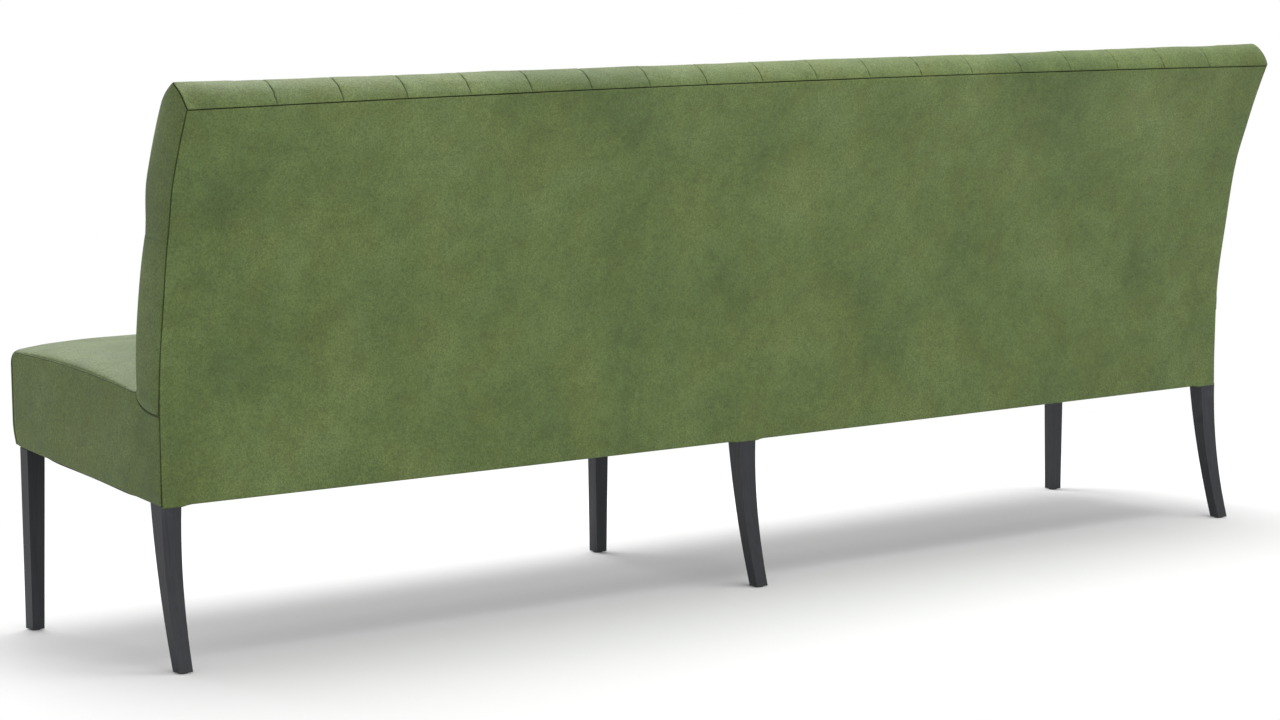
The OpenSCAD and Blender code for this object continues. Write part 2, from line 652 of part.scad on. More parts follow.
module back_liner_board() color("tan")
    along_x(band(lower_edge(rear_base_y - frame_in), post_top_z, liner_in, liner_in + liner_t), 2 * inner_half);
module top_tack_strip() color("tan")
    along_x(band(post_top_z + gap, rail_top_z, liner_in, liner_in + liner_t), 2 * inner_half);
module outside_back_cover() color(leather_green)
    along_x(band(lower_edge(rear_base_y - cover_t), roll_z - gap, 0, cover_t), 2 * (half_len - cover_t));

front_leg(1);  // front_leg_left
front_leg(0);  // front_leg_center
front_leg(-1);  // front_leg_right
rear_leg(1);  // rear_leg_left
rear_leg(0);  // rear_leg_center
rear_leg(-1);  // rear_leg_right
foot_glides();
leg_bolts();
front_rail();
rear_rail();
end_rail(1);  // end_rail_left
end_rail(-1);  // end_rail_right
cross_rail(1);  // cross_rail_left
cross_rail(0);  // cross_rail_center
cross_rail(-1);  // cross_rail_right
corner_blocks();
rail_screws();
post_screws();
seat_springs();
spring_clips();
seat_felt();
seat_foam();
seat_front_padding();
seat_cover();
seat_end_panel(1);  // seat_end_panel_left
seat_end_panel(-1);  // seat_end_panel_right
dust_cover();
dust_cover_staples();
back_post(1);  // back_post_left
back_post(-1);  // back_post_right
back_rib(1);  // back_rib_left
back_rib(0);  // back_rib_center
back_rib(-1);  // back_rib_right
back_top_rail();
back_middle_rail();
back_lower_rail();
back_webbing();
back_foam_upper();
back_foam_lower();
inside_back_channels();
inside_back_lower();
back_end_panel(1);  // back_end_panel_left
back_end_panel(-1);  // back_end_panel_right
back_liner_board();
top_tack_strip();
outside_back_cover();
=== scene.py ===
import math

import bmesh
import bpy
import numpy as np
from mathutils import Matrix, Vector
from mathutils.geometry import delaunay_2d_cdt


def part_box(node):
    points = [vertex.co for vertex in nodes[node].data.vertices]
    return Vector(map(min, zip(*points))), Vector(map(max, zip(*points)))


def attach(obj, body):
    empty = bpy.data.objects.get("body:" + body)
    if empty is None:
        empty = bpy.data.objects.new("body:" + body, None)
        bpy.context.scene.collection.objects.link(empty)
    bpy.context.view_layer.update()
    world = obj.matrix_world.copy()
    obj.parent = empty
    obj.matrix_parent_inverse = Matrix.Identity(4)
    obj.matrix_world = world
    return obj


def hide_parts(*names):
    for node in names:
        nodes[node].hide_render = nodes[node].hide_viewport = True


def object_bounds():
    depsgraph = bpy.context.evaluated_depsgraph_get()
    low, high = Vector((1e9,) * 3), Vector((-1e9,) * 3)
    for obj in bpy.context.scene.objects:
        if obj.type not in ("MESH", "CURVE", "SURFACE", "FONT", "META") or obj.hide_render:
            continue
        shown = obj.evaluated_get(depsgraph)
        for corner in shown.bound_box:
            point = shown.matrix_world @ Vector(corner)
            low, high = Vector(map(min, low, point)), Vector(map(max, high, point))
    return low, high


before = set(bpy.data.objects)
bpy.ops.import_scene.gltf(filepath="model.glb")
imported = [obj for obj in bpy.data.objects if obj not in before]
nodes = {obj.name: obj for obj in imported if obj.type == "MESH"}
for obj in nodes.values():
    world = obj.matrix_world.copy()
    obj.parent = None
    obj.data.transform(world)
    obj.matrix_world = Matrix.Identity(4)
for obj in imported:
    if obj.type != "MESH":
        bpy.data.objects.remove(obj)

# An upholstered banquette bench. Sizes are in metres, in the frame of the CAD model:
# +X is the sitter's left, -Y the front and +Z up, with the origin on the floor.
cad_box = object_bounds()
HALF = cad_box[1].x
FRONT_Y = cad_box[0].y
REAR_Y = cad_box[1].y
TOP_Z = cad_box[1].z
scene = bpy.context.scene
SIDES = ((1, "left"), (-1, "right"))
PLACES = ("left", "center", "right")

# The camera stands behind the bench, beyond its left end, and looks a little down
PHOTO_W = 1280
FOCAL_PX = 3716.6
SENSOR_MM = 36
CAMERA_AT = (4.2103, 5.0885, 1.1884)
CAMERA_AZIMUTH = 141.054
CAMERA_ELEVATION = 11.2817
CAMERA_SHIFT_Y = 0.21875

# Real sizes of the back
ROLL_R = 0.039
ROLL_FLAT = 0.08
ROLL_FLAT_LEFT = 0.255
ROLL_FLAT_RIGHT = 0.11
END_ROLL_W = 0.045
TOP_SEAM_DROP = 0.0025
TOP_SEAM_BOW = 0.0072
FLARE_Z = 0.395
FLARE_R = 1.132
STITCH_Z = 0.690
DENT_T = 0.067
LOWER_SWELL = 0.008
MID_CHANNELS = 17
END_CHANNEL_SHARE = 1.29
SWAY = 0.0050
SWAY_Z = 0.575
SWAY_H = 0.09
END_LEAN = 0.0040
LEAN_H = 0.08
LEAN_W = 0.12
END_HEM = 0.0030
HEM_BOW = 0.0024
PANEL_CORNER_H = 0.030
PAD_FOOT_Z = 0.402
PAD_DEPTH = 0.0375

# Real sizes of the seat
FRONT_EDGE_Z = 0.307
REAR_EDGE_Z = 0.261
FRONT_SEAM_Z = 0.461
REAR_SEAM_Z = 0.432
SEAM_BOW_SHARE = 0.25
SEAT_CROWN = 0.030
CROWN_FADE = 0.150
SEAT_EDGE_R = 0.020
SEAT_CORNER_R = 0.014
DRAW_IN = 0.009
RAIL_TOP = 0.0965
FRONT_DROP = 0.0008
REAR_DROP = 0.0032
CROWN_LIFT = 0.0250
RAIL_FRONT_Y = -0.2573
FRONT_ROUND_R = 0.012

# Leather and its seams. The back's end panels stand out over the seat's, which go on under them
LEATHER_T = 0.0009
SEAM_DEPTH = 0.0009
SEAM_OVERLAP = 0.00003
# How much of the painted shade in the seams the seat's leather gets
SEAT_SEAM_SHADE = 0.45
OVER_SEAT = 0.0014
LAP = 0.0045
GAP = 0.0003
INNER_HALF = HALF - 0.0025

# The dust cover under the seat
CLOTH_T = 0.0009
CLOTH_INSET = 0.009
CLOTH_FRONT_IN = 0.025
CLOTH_SAG = 0.004
LEG_CLEAR = 0.001
REAR_LEG_D = 0.032

roll_z = TOP_Z - ROLL_R
rear_y = REAR_Y - (FLARE_R - math.sqrt(FLARE_R ** 2 - (roll_z - FLARE_Z) ** 2))
roll_y = REAR_Y - ROLL_R
rake = (FRONT_EDGE_Z - REAR_EDGE_Z) / (rear_y - FRONT_Y - DRAW_IN)


def blend(a, b, t):
    return a + (b - a) * t


def ease(t):
    t = np.clip(t, 0, 1)
    return t * t * (3 - 2 * t)


def bump(distance, width):
    return np.exp(-(distance / width) ** 2)


def lower_edge(y):
    return REAR_EDGE_Z + (rear_y - y) * rake


def frame_face(z):
    """Rear face of the frame, an arc over its straight lower part."""
    rise = np.maximum(0, np.asarray(z, float) - FLARE_Z)
    return rear_y + FLARE_R - np.sqrt(FLARE_R ** 2 - rise ** 2)


def rear_face(z):
    """Rear face of the leather, which eases the start of the arc."""
    return frame_face(z) + SWAY * bump(np.asarray(z, float) - SWAY_Z, SWAY_H)


def end_lean(z):
    """How far the padded ends of the back stand out, above the stitch line."""
    return END_LEAN * ease((np.asarray(z, float) - STITCH_Z) / LEAN_H)


def back_t(z):
    """Thickness of the back, measured over its padding."""
    z = np.asarray(z, float)
    rise = np.clip(2 * (z - STITCH_Z) / (roll_z - STITCH_Z), 0, 1)
    above = blend(DENT_T, 2 * ROLL_R, np.sin(np.pi / 2 * rise))
    below = DENT_T + LOWER_SWELL * np.sin(np.pi * (STITCH_Z - z) / (STITCH_Z - REAR_SEAM_Z))
    return np.where(z > STITCH_Z, above, below)


seat_back_z = REAR_SEAM_Z + SEAT_CROWN * SEAM_BOW_SHARE
seat_rear_y = float(rear_face(seat_back_z) - back_t(seat_back_z)) - GAP


def waves(points, length, seed):
    """Smooth, seeded unevenness between about -1 and 1 with waves of about the given length."""
    count = 7
    draw = np.random.default_rng(seed)
    total = np.zeros(np.shape(points)[:-1])
    for _ in range(count):
        way = draw.normal(size=3)
        way /= np.linalg.norm(way)
        stretch = draw.uniform(0.6, 1.6)
        total += np.sin(2 * np.pi / (length * stretch) * (points @ way) + draw.uniform(0, 2 * np.pi))
    return total / math.sqrt(2 * count)


def uneven(points, *layers):
    """Adds up layers of waves, each given as (length, height, seed)."""
    return sum(waves(points, length, seed) * height for length, height, seed in layers)


# Rolled edges and the places of points across a panel


def rolled_edge(radius, turn=0.0, tuck=0.004, room=0.00025):
    """Leather that rolls into a seam: (distance from the seam, height over the face), from the
    tucked end outwards. turn is the angle between the two faces, 0 where they are level. The
    seam is open by room on either side and closes at the tucked end."""
    half = turn / 2
    reach = radius * (math.cos(half) + (1 + math.sin(half)) * math.tan(half)) + room
    angles = np.linspace(math.pi / 2 + half, 0, 5)
    rolled = [(reach - radius * math.sin(a), -radius * (1 - math.cos(a))) for a in angles]
    closed = room * math.cos(half) - SEAM_OVERLAP
    deep = (rolled[0][0] + tuck * math.sin(half) - closed * math.cos(half),
            rolled[0][1] - tuck * math.cos(half) - closed * math.sin(half))
    return [deep] + rolled


def strip(first, last, inner):
    """Places across a panel between two rolled edges: (share, metres, height over the face).
    inner are shares from 0 to 1 of what lies between the two rolls."""
    a, b = first[-1][0], last[-1][0]
    places = [(0, d, h) for d, h in first]
    places += [(t, a * (1 - t) - b * t, 0.0) for t in inner if 0 < t < 1]
    places += [(1, -d, h) for d, h in reversed(last)]
    return np.array(places)


def across(places, low, high):
    """Turns a strip's places into metres between two limits, which may be arrays."""
    low, high = np.asarray(low, float), np.asarray(high, float)
    return low[..., None] + (high - low)[..., None] * places[:, 0] + places[:, 1]


def edge_heights(x_places, s_places):
    """Height of a panel's rolled edges over its face, on all four sides."""
    return np.minimum(x_places[:, 2][:, None] + s_places[:, 2][None, :], 0)


corner_edge = rolled_edge(0.0009, math.pi / 2, room=0.00045)
top_edge = rolled_edge(0.0013, math.radians(25))
stitch_edge = rolled_edge(0.0022, 0, 0.006)
fold_edge = rolled_edge(0.004, 0, 0.012)

# Mesh building


def placed(name, data):
    """A new object in the scene."""
    made = bpy.data.objects.new(name, data)
    scene.collection.objects.link(made)
    return made


def mesh_object(name, points, faces):
    mesh = bpy.data.meshes.new(name)
    mesh.from_pydata([tuple(p) for p in points], [], faces)
    mesh.validate()
    mesh.update()
    return placed(name, mesh)


def mark_seam_shade(made, depth):
    """Keeps how far each point lies in a seam, from 0 on the face to 1, for the painted shade that
    darkens the leather's colour there.
    """
    layer = made.data.attributes.new("seam", "FLOAT", "POINT")
    layer.data.foreach_set("value", np.clip(depth, 0, 1).ravel().astype(np.float32))


def grid_faces(n, m, base=0, flip=False):
    i, j = np.meshgrid(np.arange(n - 1), np.arange(m - 1), indexing="ij")
    a = base + i * m + j
    quads = np.stack([a, a + 1, a + m + 1, a + m], -1).reshape(-1, 4)
    return (quads[:, ::-1] if flip else quads).tolist()


def rim_faces(n, m, base):
    """Joins the borders of two grids of n by m points, the second one starting at base."""
    ring = [(i, 0) for i in range(n - 1)] + [(n - 1, j) for j in range(m - 1)]
    ring += [(i, m - 1) for i in range(n - 1, 0, -1)] + [(0, j) for j in range(m - 1, 0, -1)]
    index = [i * m + j for i, j in ring]
    ahead = index[1:] + index[:1]
    return [[a, b, base + b, base + a] for a, b in zip(index, ahead)]


def outward(made):
    """Turns the faces outwards and shades them smooth."""
    work = bmesh.new()
    work.from_mesh(made.data)
    bmesh.ops.remove_doubles(work, verts=work.verts, dist=1e-7)
    bmesh.ops.recalc_face_normals(work, faces=work.faces)
    if work.calc_volume(signed=True) < 0:
        bmesh.ops.reverse_faces(work, faces=work.faces)
    work.to_mesh(made.data)
    work.free()
    made.data.shade_smooth()
    return made


def closed_grid(name, outer, inner, seam):
    """A closed body between two grids; seam says how far each outer point lies in a seam, which sets how
    much painted shade darkens it.
    """
    n, m = outer.shape[:2]
    faces = grid_faces(n, m) + grid_faces(n, m, n * m, True) + rim_faces(n, m, n * m)
    made = mesh_object(name, np.concatenate([outer.reshape(-1, 3), inner.reshape(-1, 3)]), faces)
    mark_seam_shade(made, np.concatenate([seam.ravel(), np.ones(n * m)]))
    return outward(made)


def grid_normals(points):
    normal = np.cross(np.gradient(points, axis=0), np.gradient(points, axis=1))
    size = np.linalg.norm(normal, axis=-1, keepdims=True)
    return normal / np.maximum(size, 1e-12)


def in_seam(height):
    """How far a rolled edge lies in its seam, from 0 to 1."""
    return np.clip(-height / SEAM_DEPTH, 0, 1)


def two_layers(faces, total, rim):
    """Closes a sheet: a second layer lies total points on, and joins the first along its rim."""
    under = [[total + v for v in reversed(f)] for f in faces]
    ahead = rim[1:] + rim[:1]
    return faces + under + [[a, total + a, total + b, b] for a, b in zip(rim, ahead)]


# Cloth simulation: padding pushes a sewn cover outwards, and the cover's swell is measured

SIM_FRAMES = 20
SIM_PRESSURE = 4.0
SIM_CAP = 0.016


def blown(points, sewn, stretch):
    """How far a cover moves out of its rest shape under the padding's pressure, in metres.
    points is a grid that faces outwards, and sewn is true where it is held by a seam."""
    n, m = sewn.shape
    work = mesh_object("cover_in_work", points.reshape(-1, 3), grid_faces(n, m, 0, True))
    held = work.vertex_groups.new(name="sewn")
    held.add(np.flatnonzero(sewn).tolist(), 1.0, "REPLACE")
    cloth = work.modifiers.new("cloth", "CLOTH").settings
    cloth.quality = 6
    cloth.mass = 0.3
    cloth.tension_stiffness = 20
    cloth.compression_stiffness = 20
    cloth.shear_stiffness = 8
    cloth.bending_stiffness = 1.5
    cloth.tension_damping = 10
    cloth.compression_damping = 10
    cloth.shrink_min = -stretch
    cloth.vertex_group_mass = "sewn"
    cloth.use_pressure = True
    cloth.uniform_pressure_force = SIM_PRESSURE
    cloth.effector_weights.gravity = 0
    for number in range(1, SIM_FRAMES + 1):
        scene.frame_set(number)
    shaped = work.evaluated_get(bpy.context.evaluated_depsgraph_get()).to_mesh()
    moved = np.zeros(len(shaped.vertices) * 3)
    shaped.vertices.foreach_get("co", moved)
    mesh = work.data
    bpy.data.objects.remove(work)
    bpy.data.meshes.remove(mesh)
    scene.frame_set(1)
    out = np.sum((moved.reshape(n, m, 3) - points) * grid_normals(points), -1)
    return SIM_CAP * np.tanh(out / SIM_CAP)


def sampled(field, u, v):
    """Values of a field between the points of its grid, at places counted in grid steps."""
    n, m = field.shape
    u, v = np.clip(u, 0, n - 1), np.clip(v, 0, m - 1)
    i, j = np.minimum(u.astype(int), n - 2), np.minimum(v.astype(int), m - 2)
    p, q = u - i, v - j
    low = blend(field[i, j], field[i + 1, j], p)
    high = blend(field[i, j + 1], field[i + 1, j + 1], p)
    return blend(low, high, q)


# The back's section, from its lower rear edge over the roll to the foot of its inside


def roll_points(flat, power=1.0, front_flat=0.0):
    """The roll's outline from its rear to its front, flattened in either quarter."""
    a = np.linspace(0, np.pi, 90)
    bow = np.abs(np.sin(2 * a))
    radius = ROLL_R * (1 - np.where(a < np.pi / 2, flat * bow ** power, front_flat * bow ** 0.8))
    return np.stack([roll_y + radius * np.cos(a), roll_z + radius * np.sin(a)], -1)


def section_points(roll):
    """The whole section, round the given outline of its roll."""
    steps = 240
    z_up = np.linspace(REAR_EDGE_Z, roll_z, steps)[:-1]
    z_down = np.linspace(roll_z, REAR_EDGE_Z + RAIL_TOP, steps)[1:]
    return np.concatenate([
        np.stack([rear_face(z_up), z_up], -1),
        roll,
        np.stack([rear_face(z_down) - back_t(z_down), z_down], -1)])


end_rolls = {1: roll_points(ROLL_FLAT_LEFT, 0.5, 0.16), -1: roll_points(ROLL_FLAT_RIGHT)}
section_mid = section_points(roll_points(ROLL_FLAT))
section_ends = {side: section_points(roll) for side, roll in end_rolls.items()}
section_s = np.concatenate([[0], np.cumsum(np.linalg.norm(np.diff(section_mid, axis=0), axis=1))])
crest_i = int(np.argmax(section_mid[:, 1]))
crest_s = float(section_s[crest_i])


def inside_s(z):
    """Place along the section of a height on the inside of the back."""
    return float(np.interp(-z, -section_mid[crest_i:, 1], section_s[crest_i:]))


stitch_s = inside_s(STITCH_Z)


def section_normals():
    """Outward normals of the section, eased over its kinks."""
    step, reach, width = 0.001, 30, 0.006
    even = np.arange(0, section_s[-1], step)
    y, z = (np.interp(even, section_s, section_mid[:, k]) for k in (0, 1))
    kernel = bump(np.arange(-reach, reach + 1) * step, width * math.sqrt(2))
    kernel /= kernel.sum()
    ty, tz = (np.convolve(np.pad(np.gradient(v), reach, mode="edge"), kernel, "valid") for v in (y, z))
    size = np.hypot(ty, tz)
    return even, tz / size, -ty / size


normal_s, normal_y, normal_z = section_normals()


def back_point(x, s, off):
    """A place on the back's surface: along the bench, along the section, and out of the face."""
    y, z = (np.interp(s, section_s, section_mid[:, k]) for k in (0, 1))
    for side, section in section_ends.items():
        near_end = 1 - ease((HALF - side * x) / END_ROLL_W)
        y = blend(y, np.interp(s, section_s, section[:, 0]), near_end)
        z = blend(z, np.interp(s, section_s, section[:, 1]), near_end)
    y = y + off * np.interp(s, normal_s, normal_y)
    z = z + off * np.interp(s, normal_s, normal_z)
    lean = np.sign(x) * end_lean(z) * (1 - ease((HALF - np.abs(x)) / LEAN_W))
    return np.stack([x + lean, y, z], -1)


def rear_seam(x):
    """Place along the section of the rear top seam, which bows up in the middle."""
    z = roll_z - TOP_SEAM_DROP + TOP_SEAM_BOW * (1 - (np.abs(x) / HALF) ** 2.2)
    return np.interp(z, section_mid[:crest_i, 1], section_s[:crest_i])


# Outside back: one plain sheet, folded under at its lower edge


def near_legs(x):
    """1 over a rear leg, fading out beside it."""
    fade = 0.02
    total = np.zeros(np.shape(x))
    for end in PLACES:
        low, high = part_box("rear_leg_" + end)
        total = np.maximum(total, ease(1 - np.maximum(low.x - x, x - high.x) / fade))
    return total


def outside_back():
    leg_dip, leg_swell, slack, tug = 0.0025, 0.0012, 0.0012, 0.0004
    x_places = strip(corner_edge, corner_edge, np.linspace(0, 1, 260))
    s_places = strip(fold_edge, top_edge, np.linspace(0, 1, 80))
    xs = across(x_places, -HALF, HALF)
    hem = END_HEM + HEM_BOW * (1 - (xs / HALF) ** 2)
    ss = across(s_places, -hem - leg_dip * near_legs(xs), rear_seam(xs))
    grid_x = np.repeat(xs[:, None], len(s_places), 1)
    flat = back_point(grid_x, np.maximum(ss, 0), 0)
    belly = slack + uneven(flat, (0.34, 0.0009, 11), (0.12, 0.00025, 12))
    from_top = rear_seam(grid_x) - ss
    free = ease((HALF - np.abs(grid_x)) / 0.12) * ease(ss / 0.08) * ease(from_top / 0.06)
    over_legs = leg_swell * near_legs(grid_x) * (1 - ease(ss / 0.05))
    # The stitches draw the top seam in here and there
    tugs = -tug * bump(from_top, 0.012) * (0.5 + 0.5 * waves(flat, 0.07, 13))
    off = edge_heights(x_places, s_places) + belly * free + over_legs + tugs
    outer = back_point(grid_x, np.maximum(ss, 0), off)
    outer[..., 2] += np.minimum(ss, 0)
    # Painted shade darkens the rolled edges in the seams; the folded hem isn't a seam and gets none
    top = in_seam(s_places[:, 2]) * (s_places[:, 0] > 0.5)
    seam = np.maximum(in_seam(x_places[:, 2])[:, None], top[None, :])
    # Turned round, the grid's normals point out of the bench
    outer = outer[:, ::-1]
    inner = outer - grid_normals(outer) * LEATHER_T
    made = closed_grid("outside_back", outer, inner, seam[:, ::-1])
    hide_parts("outside_back_cover")
    return made


# Inside back: sewn channels that run over the roll, and a plain section under the stitch line

channel_w = 2 * HALF / (MID_CHANNELS + 2 * END_CHANNEL_SHARE)
channel_seams = -HALF + channel_w * (END_CHANNEL_SHARE + np.arange(MID_CHANNELS + 1))
channel_edges = np.concatenate([[-HALF], channel_seams, [HALF]])


def channel_shares():
    """Shares of what lies between the rolled ends, gathered at every channel seam."""
    beside = [0, 0.0005, 0.0011, 0.002, 0.0035, 0.0055, 0.010, 0.017, 0.027, 0.040]
    found = [x + side * step for x in channel_seams for step in beside for side in (-1, 1)]
    for a, b in zip(channel_seams[:-1], channel_seams[1:]):
        found += [blend(a, b, t) for t in (0.42, 0.5, 0.58)]
    from_end = [0.006, 0.009, 0.014, 0.022, 0.033, 0.046, 0.062, 0.078, 0.094, 0.108]
    found += [side * (HALF - d) for d in from_end for side in (-1, 1)]
    reach = corner_edge[-1][0]
    return (np.unique(np.round(found, 6)) + HALF - reach) / (2 * HALF - 2 * reach)


def channel_of(x):
    """The number of the channel at x, counted from the -X end."""
    return np.clip(np.searchsorted(channel_edges, x) - 1, 0, len(channel_edges) - 2)


def simulated_puffs(depth):
    """The channels' swell between their seams, as a share of its full height, from the simulation."""
    per_channel, rows = 16, 40
    cols = np.concatenate([np.linspace(a, b, per_channel, endpoint=False)
                           for a, b in zip(channel_edges[:-1], channel_edges[1:])] + [[HALF]])
    down = np.linspace(0, 1, rows)
    x = np.repeat(cols[:, None], rows, 1)
    s = blend(rear_seam(x), stitch_s, down[None, :])
    start = -depth * ease(np.minimum(down, 1 - down) / 0.1)[None, :]
    rest = back_point(x, s, start + uneven(back_point(x, s, 0), (0.09, 0.0006, 24)))
    sewn = np.zeros(x.shape, bool)
    sewn[::per_channel] = True
    sewn[:, [0, -1]] = True
    # The grid is turned round, so that it faces outwards
    out = blown(rest[:, ::-1], sewn[:, ::-1], 0.01)[:, ::-1]
    share = np.clip(out / np.percentile(out, 90), 0, 1.5) ** 0.7

    def puff(x, s):
        u = np.interp(x, cols, np.arange(len(cols)))
        v = (s - rear_seam(x)) / (stitch_s - rear_seam(x)) * (rows - 1)
        return sampled(share, u, v)
    return puff


def inside_back_upper():
    roll_depth, face_depth = 0.0017, 0.0055
    crease_depth, crease_w, dark_w = 0.0013, 0.0010, 0.0009
    pucker_depth, pucker_length, pucker_reach = 0.0004, 0.021, 0.010
    swell_from_stitch, swell_height = 0.045, 0.0025
    x_places = strip(corner_edge, corner_edge, channel_shares())
    s_shares = np.concatenate([np.linspace(0, 0.36, 46)[:-1], np.linspace(0.36, 1, 46)])
    s_places = strip(top_edge, stitch_edge, s_shares)
    xs = across(x_places, -HALF, HALF)
    ss = across(s_places, rear_seam(xs), np.full(len(xs), stitch_s))
    grid_x = np.repeat(xs[:, None], len(s_places), 1)
    from_rear, from_stitch = ss - rear_seam(grid_x), stitch_s - ss
    to_seam = np.min(np.abs(grid_x[..., None] - channel_seams), -1)
    puff = simulated_puffs(face_depth)(grid_x, ss)
    fade = blend(0.2, 1, ease(from_rear / 0.022)) * blend(0.35, 1, ease(from_stitch / 0.05))
    # The outer half of an end channel lies on the end panel's edge, without a groove
    outermost = np.abs(grid_x) > np.abs(channel_seams[-1]) + 0.06
    fade = np.where(outermost, fade * 0.5 * ease((HALF - np.abs(grid_x)) / 0.05), fade)
    share_down = np.clip((ss - crest_s) / (stitch_s - crest_s), 0, 1)
    depth = blend(roll_depth, face_depth, ease(share_down / 0.35))
    groove = -depth * (1 - puff) * fade
    crease = -crease_depth * bump(to_seam, crease_w) * ease(from_stitch / 0.02) * ease(from_rear / 0.004)
    flat = back_point(grid_x, ss, 0)
    phase = np.random.default_rng(5).uniform(0, 2 * np.pi, len(channel_edges))[channel_of(grid_x)]
    along = 2 * np.pi * ss / pucker_length + phase + uneven(flat, (0.2, 2.5, 21))
    pucker = pucker_depth * np.exp(-to_seam / pucker_reach) * np.sin(along)
    padding = uneven(flat, (0.16, 0.0007, 22), (0.05, 0.00015, 23))
    swell = swell_height * bump(from_stitch - swell_from_stitch, 0.03) * puff
    edges = edge_heights(x_places, s_places)
    off = edges + groove + crease + pucker + padding + swell
    outer = back_point(grid_x, ss, off)
    share_up = np.clip(from_rear / (crest_s - rear_seam(grid_x)), 0, 1)
    rail_z = roll_z - 0.0065
    inner_z = blend(rail_z, STITCH_Z + 0.0005, share_down)
    lying = frame_face(rail_z) - blend(0.004, PAD_DEPTH, share_up)
    inner_y = np.where(share_up < 1, lying, frame_face(inner_z) - PAD_DEPTH)
    inner = np.stack([np.clip(grid_x, -INNER_HALF, INNER_HALF), inner_y, inner_z], -1)
    # Painted shade in the rolled edges and in a narrow line along the channels' creases
    seam = np.maximum(in_seam(edges), 0.8 * bump(to_seam, dark_w))
    made = closed_grid("inside_back_upper", outer, inner, seam)
    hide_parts("inside_back_channels", "back_foam_upper")
    return made


def inside_back_lower():
    pull_depth, pull_w, pull_reach = 0.0008, 0.012, 0.02
    bottom_edge = rolled_edge(0.008, 0, 0.01)
    x_places = strip(corner_edge, corner_edge, np.linspace(0, 1, 220))
    s_places = strip(stitch_edge, bottom_edge, np.linspace(0, 1, 46))
    xs = across(x_places, -HALF, HALF)
    low_s = inside_s(PAD_FOOT_Z)
    ss = across(s_places, np.full(len(xs), stitch_s), np.full(len(xs), low_s))
    grid_x = np.repeat(xs[:, None], len(s_places), 1)
    flat = back_point(grid_x, ss, 0)
    to_seam = np.min(np.abs(grid_x[..., None] - channel_seams), -1)
    # The channels' seams end at the stitch line and pull at the leather under it
    pull = -pull_depth * bump(to_seam, pull_w) * np.exp(-(ss - stitch_s) / pull_reach)
    padding = uneven(flat, (0.22, 0.0011, 31))
    swell = simulated_swell(flat, 0.004)
    edges = edge_heights(x_places, s_places)
    outer = back_point(grid_x, ss, edges + pull + padding + swell)
    share_down = np.clip((ss - stitch_s) / (low_s - stitch_s), 0, 1)
    inner_z = blend(STITCH_Z - 0.0005, PAD_FOOT_Z, share_down)
    inner_y = frame_face(inner_z) - PAD_DEPTH
    inner = np.stack([np.clip(grid_x, -INNER_HALF, INNER_HALF), inner_y, inner_z], -1)
    # Painted shade darkens the rolled edges where they go into their seams
    made = closed_grid("inside_back_lower_pad", outer, inner, in_seam(edges))
    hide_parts("inside_back_lower", "back_foam_lower")
    return made


def simulated_swell(flat, height):
    """How a cover that starts a little low swells past or short of its measured shape, in metres.
    flat is the measured shape's grid; the cover is held along all four of its sides."""
    n, m = flat.shape[:2]
    cols, rows, stretch = 170, 36, 0.004
    u, v = np.linspace(0, n - 1, cols), np.linspace(0, m - 1, rows)
    shape = np.stack([sampled(flat[..., k], *np.meshgrid(u, v, indexing="ij")) for k in range(3)], -1)
    a, b = np.meshgrid(np.linspace(0, 1, cols), np.linspace(0, 1, rows), indexing="ij")
    middle = ease(np.minimum(a, 1 - a) / 0.04) * np.sqrt(np.sin(np.pi * b))
    sewn = np.zeros((cols, rows), bool)
    sewn[[0, -1]] = True
    sewn[:, [0, -1]] = True
    normals = grid_normals(shape)
    facing = 1 if np.mean(normals[..., 1] - normals[..., 2]) < 0 else -1
    low = (waves(shape, 0.2, 33) * 0.15 + 1) * height * middle
    rest = shape - facing * normals * low[..., None]
    # blown needs a grid that faces outwards
    turn = slice(None, None, facing)
    out = blown(rest[:, turn], sewn, stretch)[:, turn]
    gain = height / np.percentile(out, 75)
    i, j = np.arange(n) * (cols - 1) / (n - 1), np.arange(m) * (rows - 1) / (m - 1)
    return sampled(out * gain - low, *np.meshgrid(i, j, indexing="ij"))


# End panels: leather in a plane, cut to an outline

PANEL_STEP = 0.0035
RIM_STEP = 0.006


def mitred(outline):
    """Inward normals of a closed outline that runs anticlockwise, longer at its corners."""
    ahead = np.roll(outline, -1, 0) - outline
    ahead /= np.linalg.norm(ahead, axis=1, keepdims=True)
    behind = np.roll(ahead, 1, 0)
    n1, n2 = (np.stack([-v[:, 1], v[:, 0]], -1) for v in (behind, ahead))
    mid = n1 + n2
    mid /= np.linalg.norm(mid, axis=1, keepdims=True)
    return mid / np.maximum(0.5, np.sum(mid * n2, 1))[:, None]


def resampled(outline, step):
    """A closed outline with points at about the given step, its corners kept."""
    found = []
    for a, b in zip(outline, np.roll(outline, -1, 0)):
        n = max(1, int(round(np.linalg.norm(b - a) / step)))
        found += [blend(a, b, k / n) for k in range(n)]
    return np.array(found)


def distance_to(points, outline):
    """Distance of each point from a closed outline."""
    best = np.full(len(points), 1e9)
    for p, v in zip(outline, np.roll(outline, -1, 0) - outline):
        t = np.clip(((points - p) @ v) / max(v @ v, 1e-12), 0, 1)
        best = np.minimum(best, np.linalg.norm(points - p - t[:, None] * v, axis=1))
    return best


def is_inside(points, rim):
    """Which points lie inside a closed rim."""
    found = np.zeros(len(points), bool)
    for a, b in zip(rim, np.roll(rim, -1, 0)):
        spans = (a[1] > points[:, 1]) != (b[1] > points[:, 1])
        if np.any(spans):
            at = blend(a[0], b[0], (points[:, 1] - a[1]) / (b[1] - a[1]))
            found ^= spans & (points[:, 0] < at)
    return found


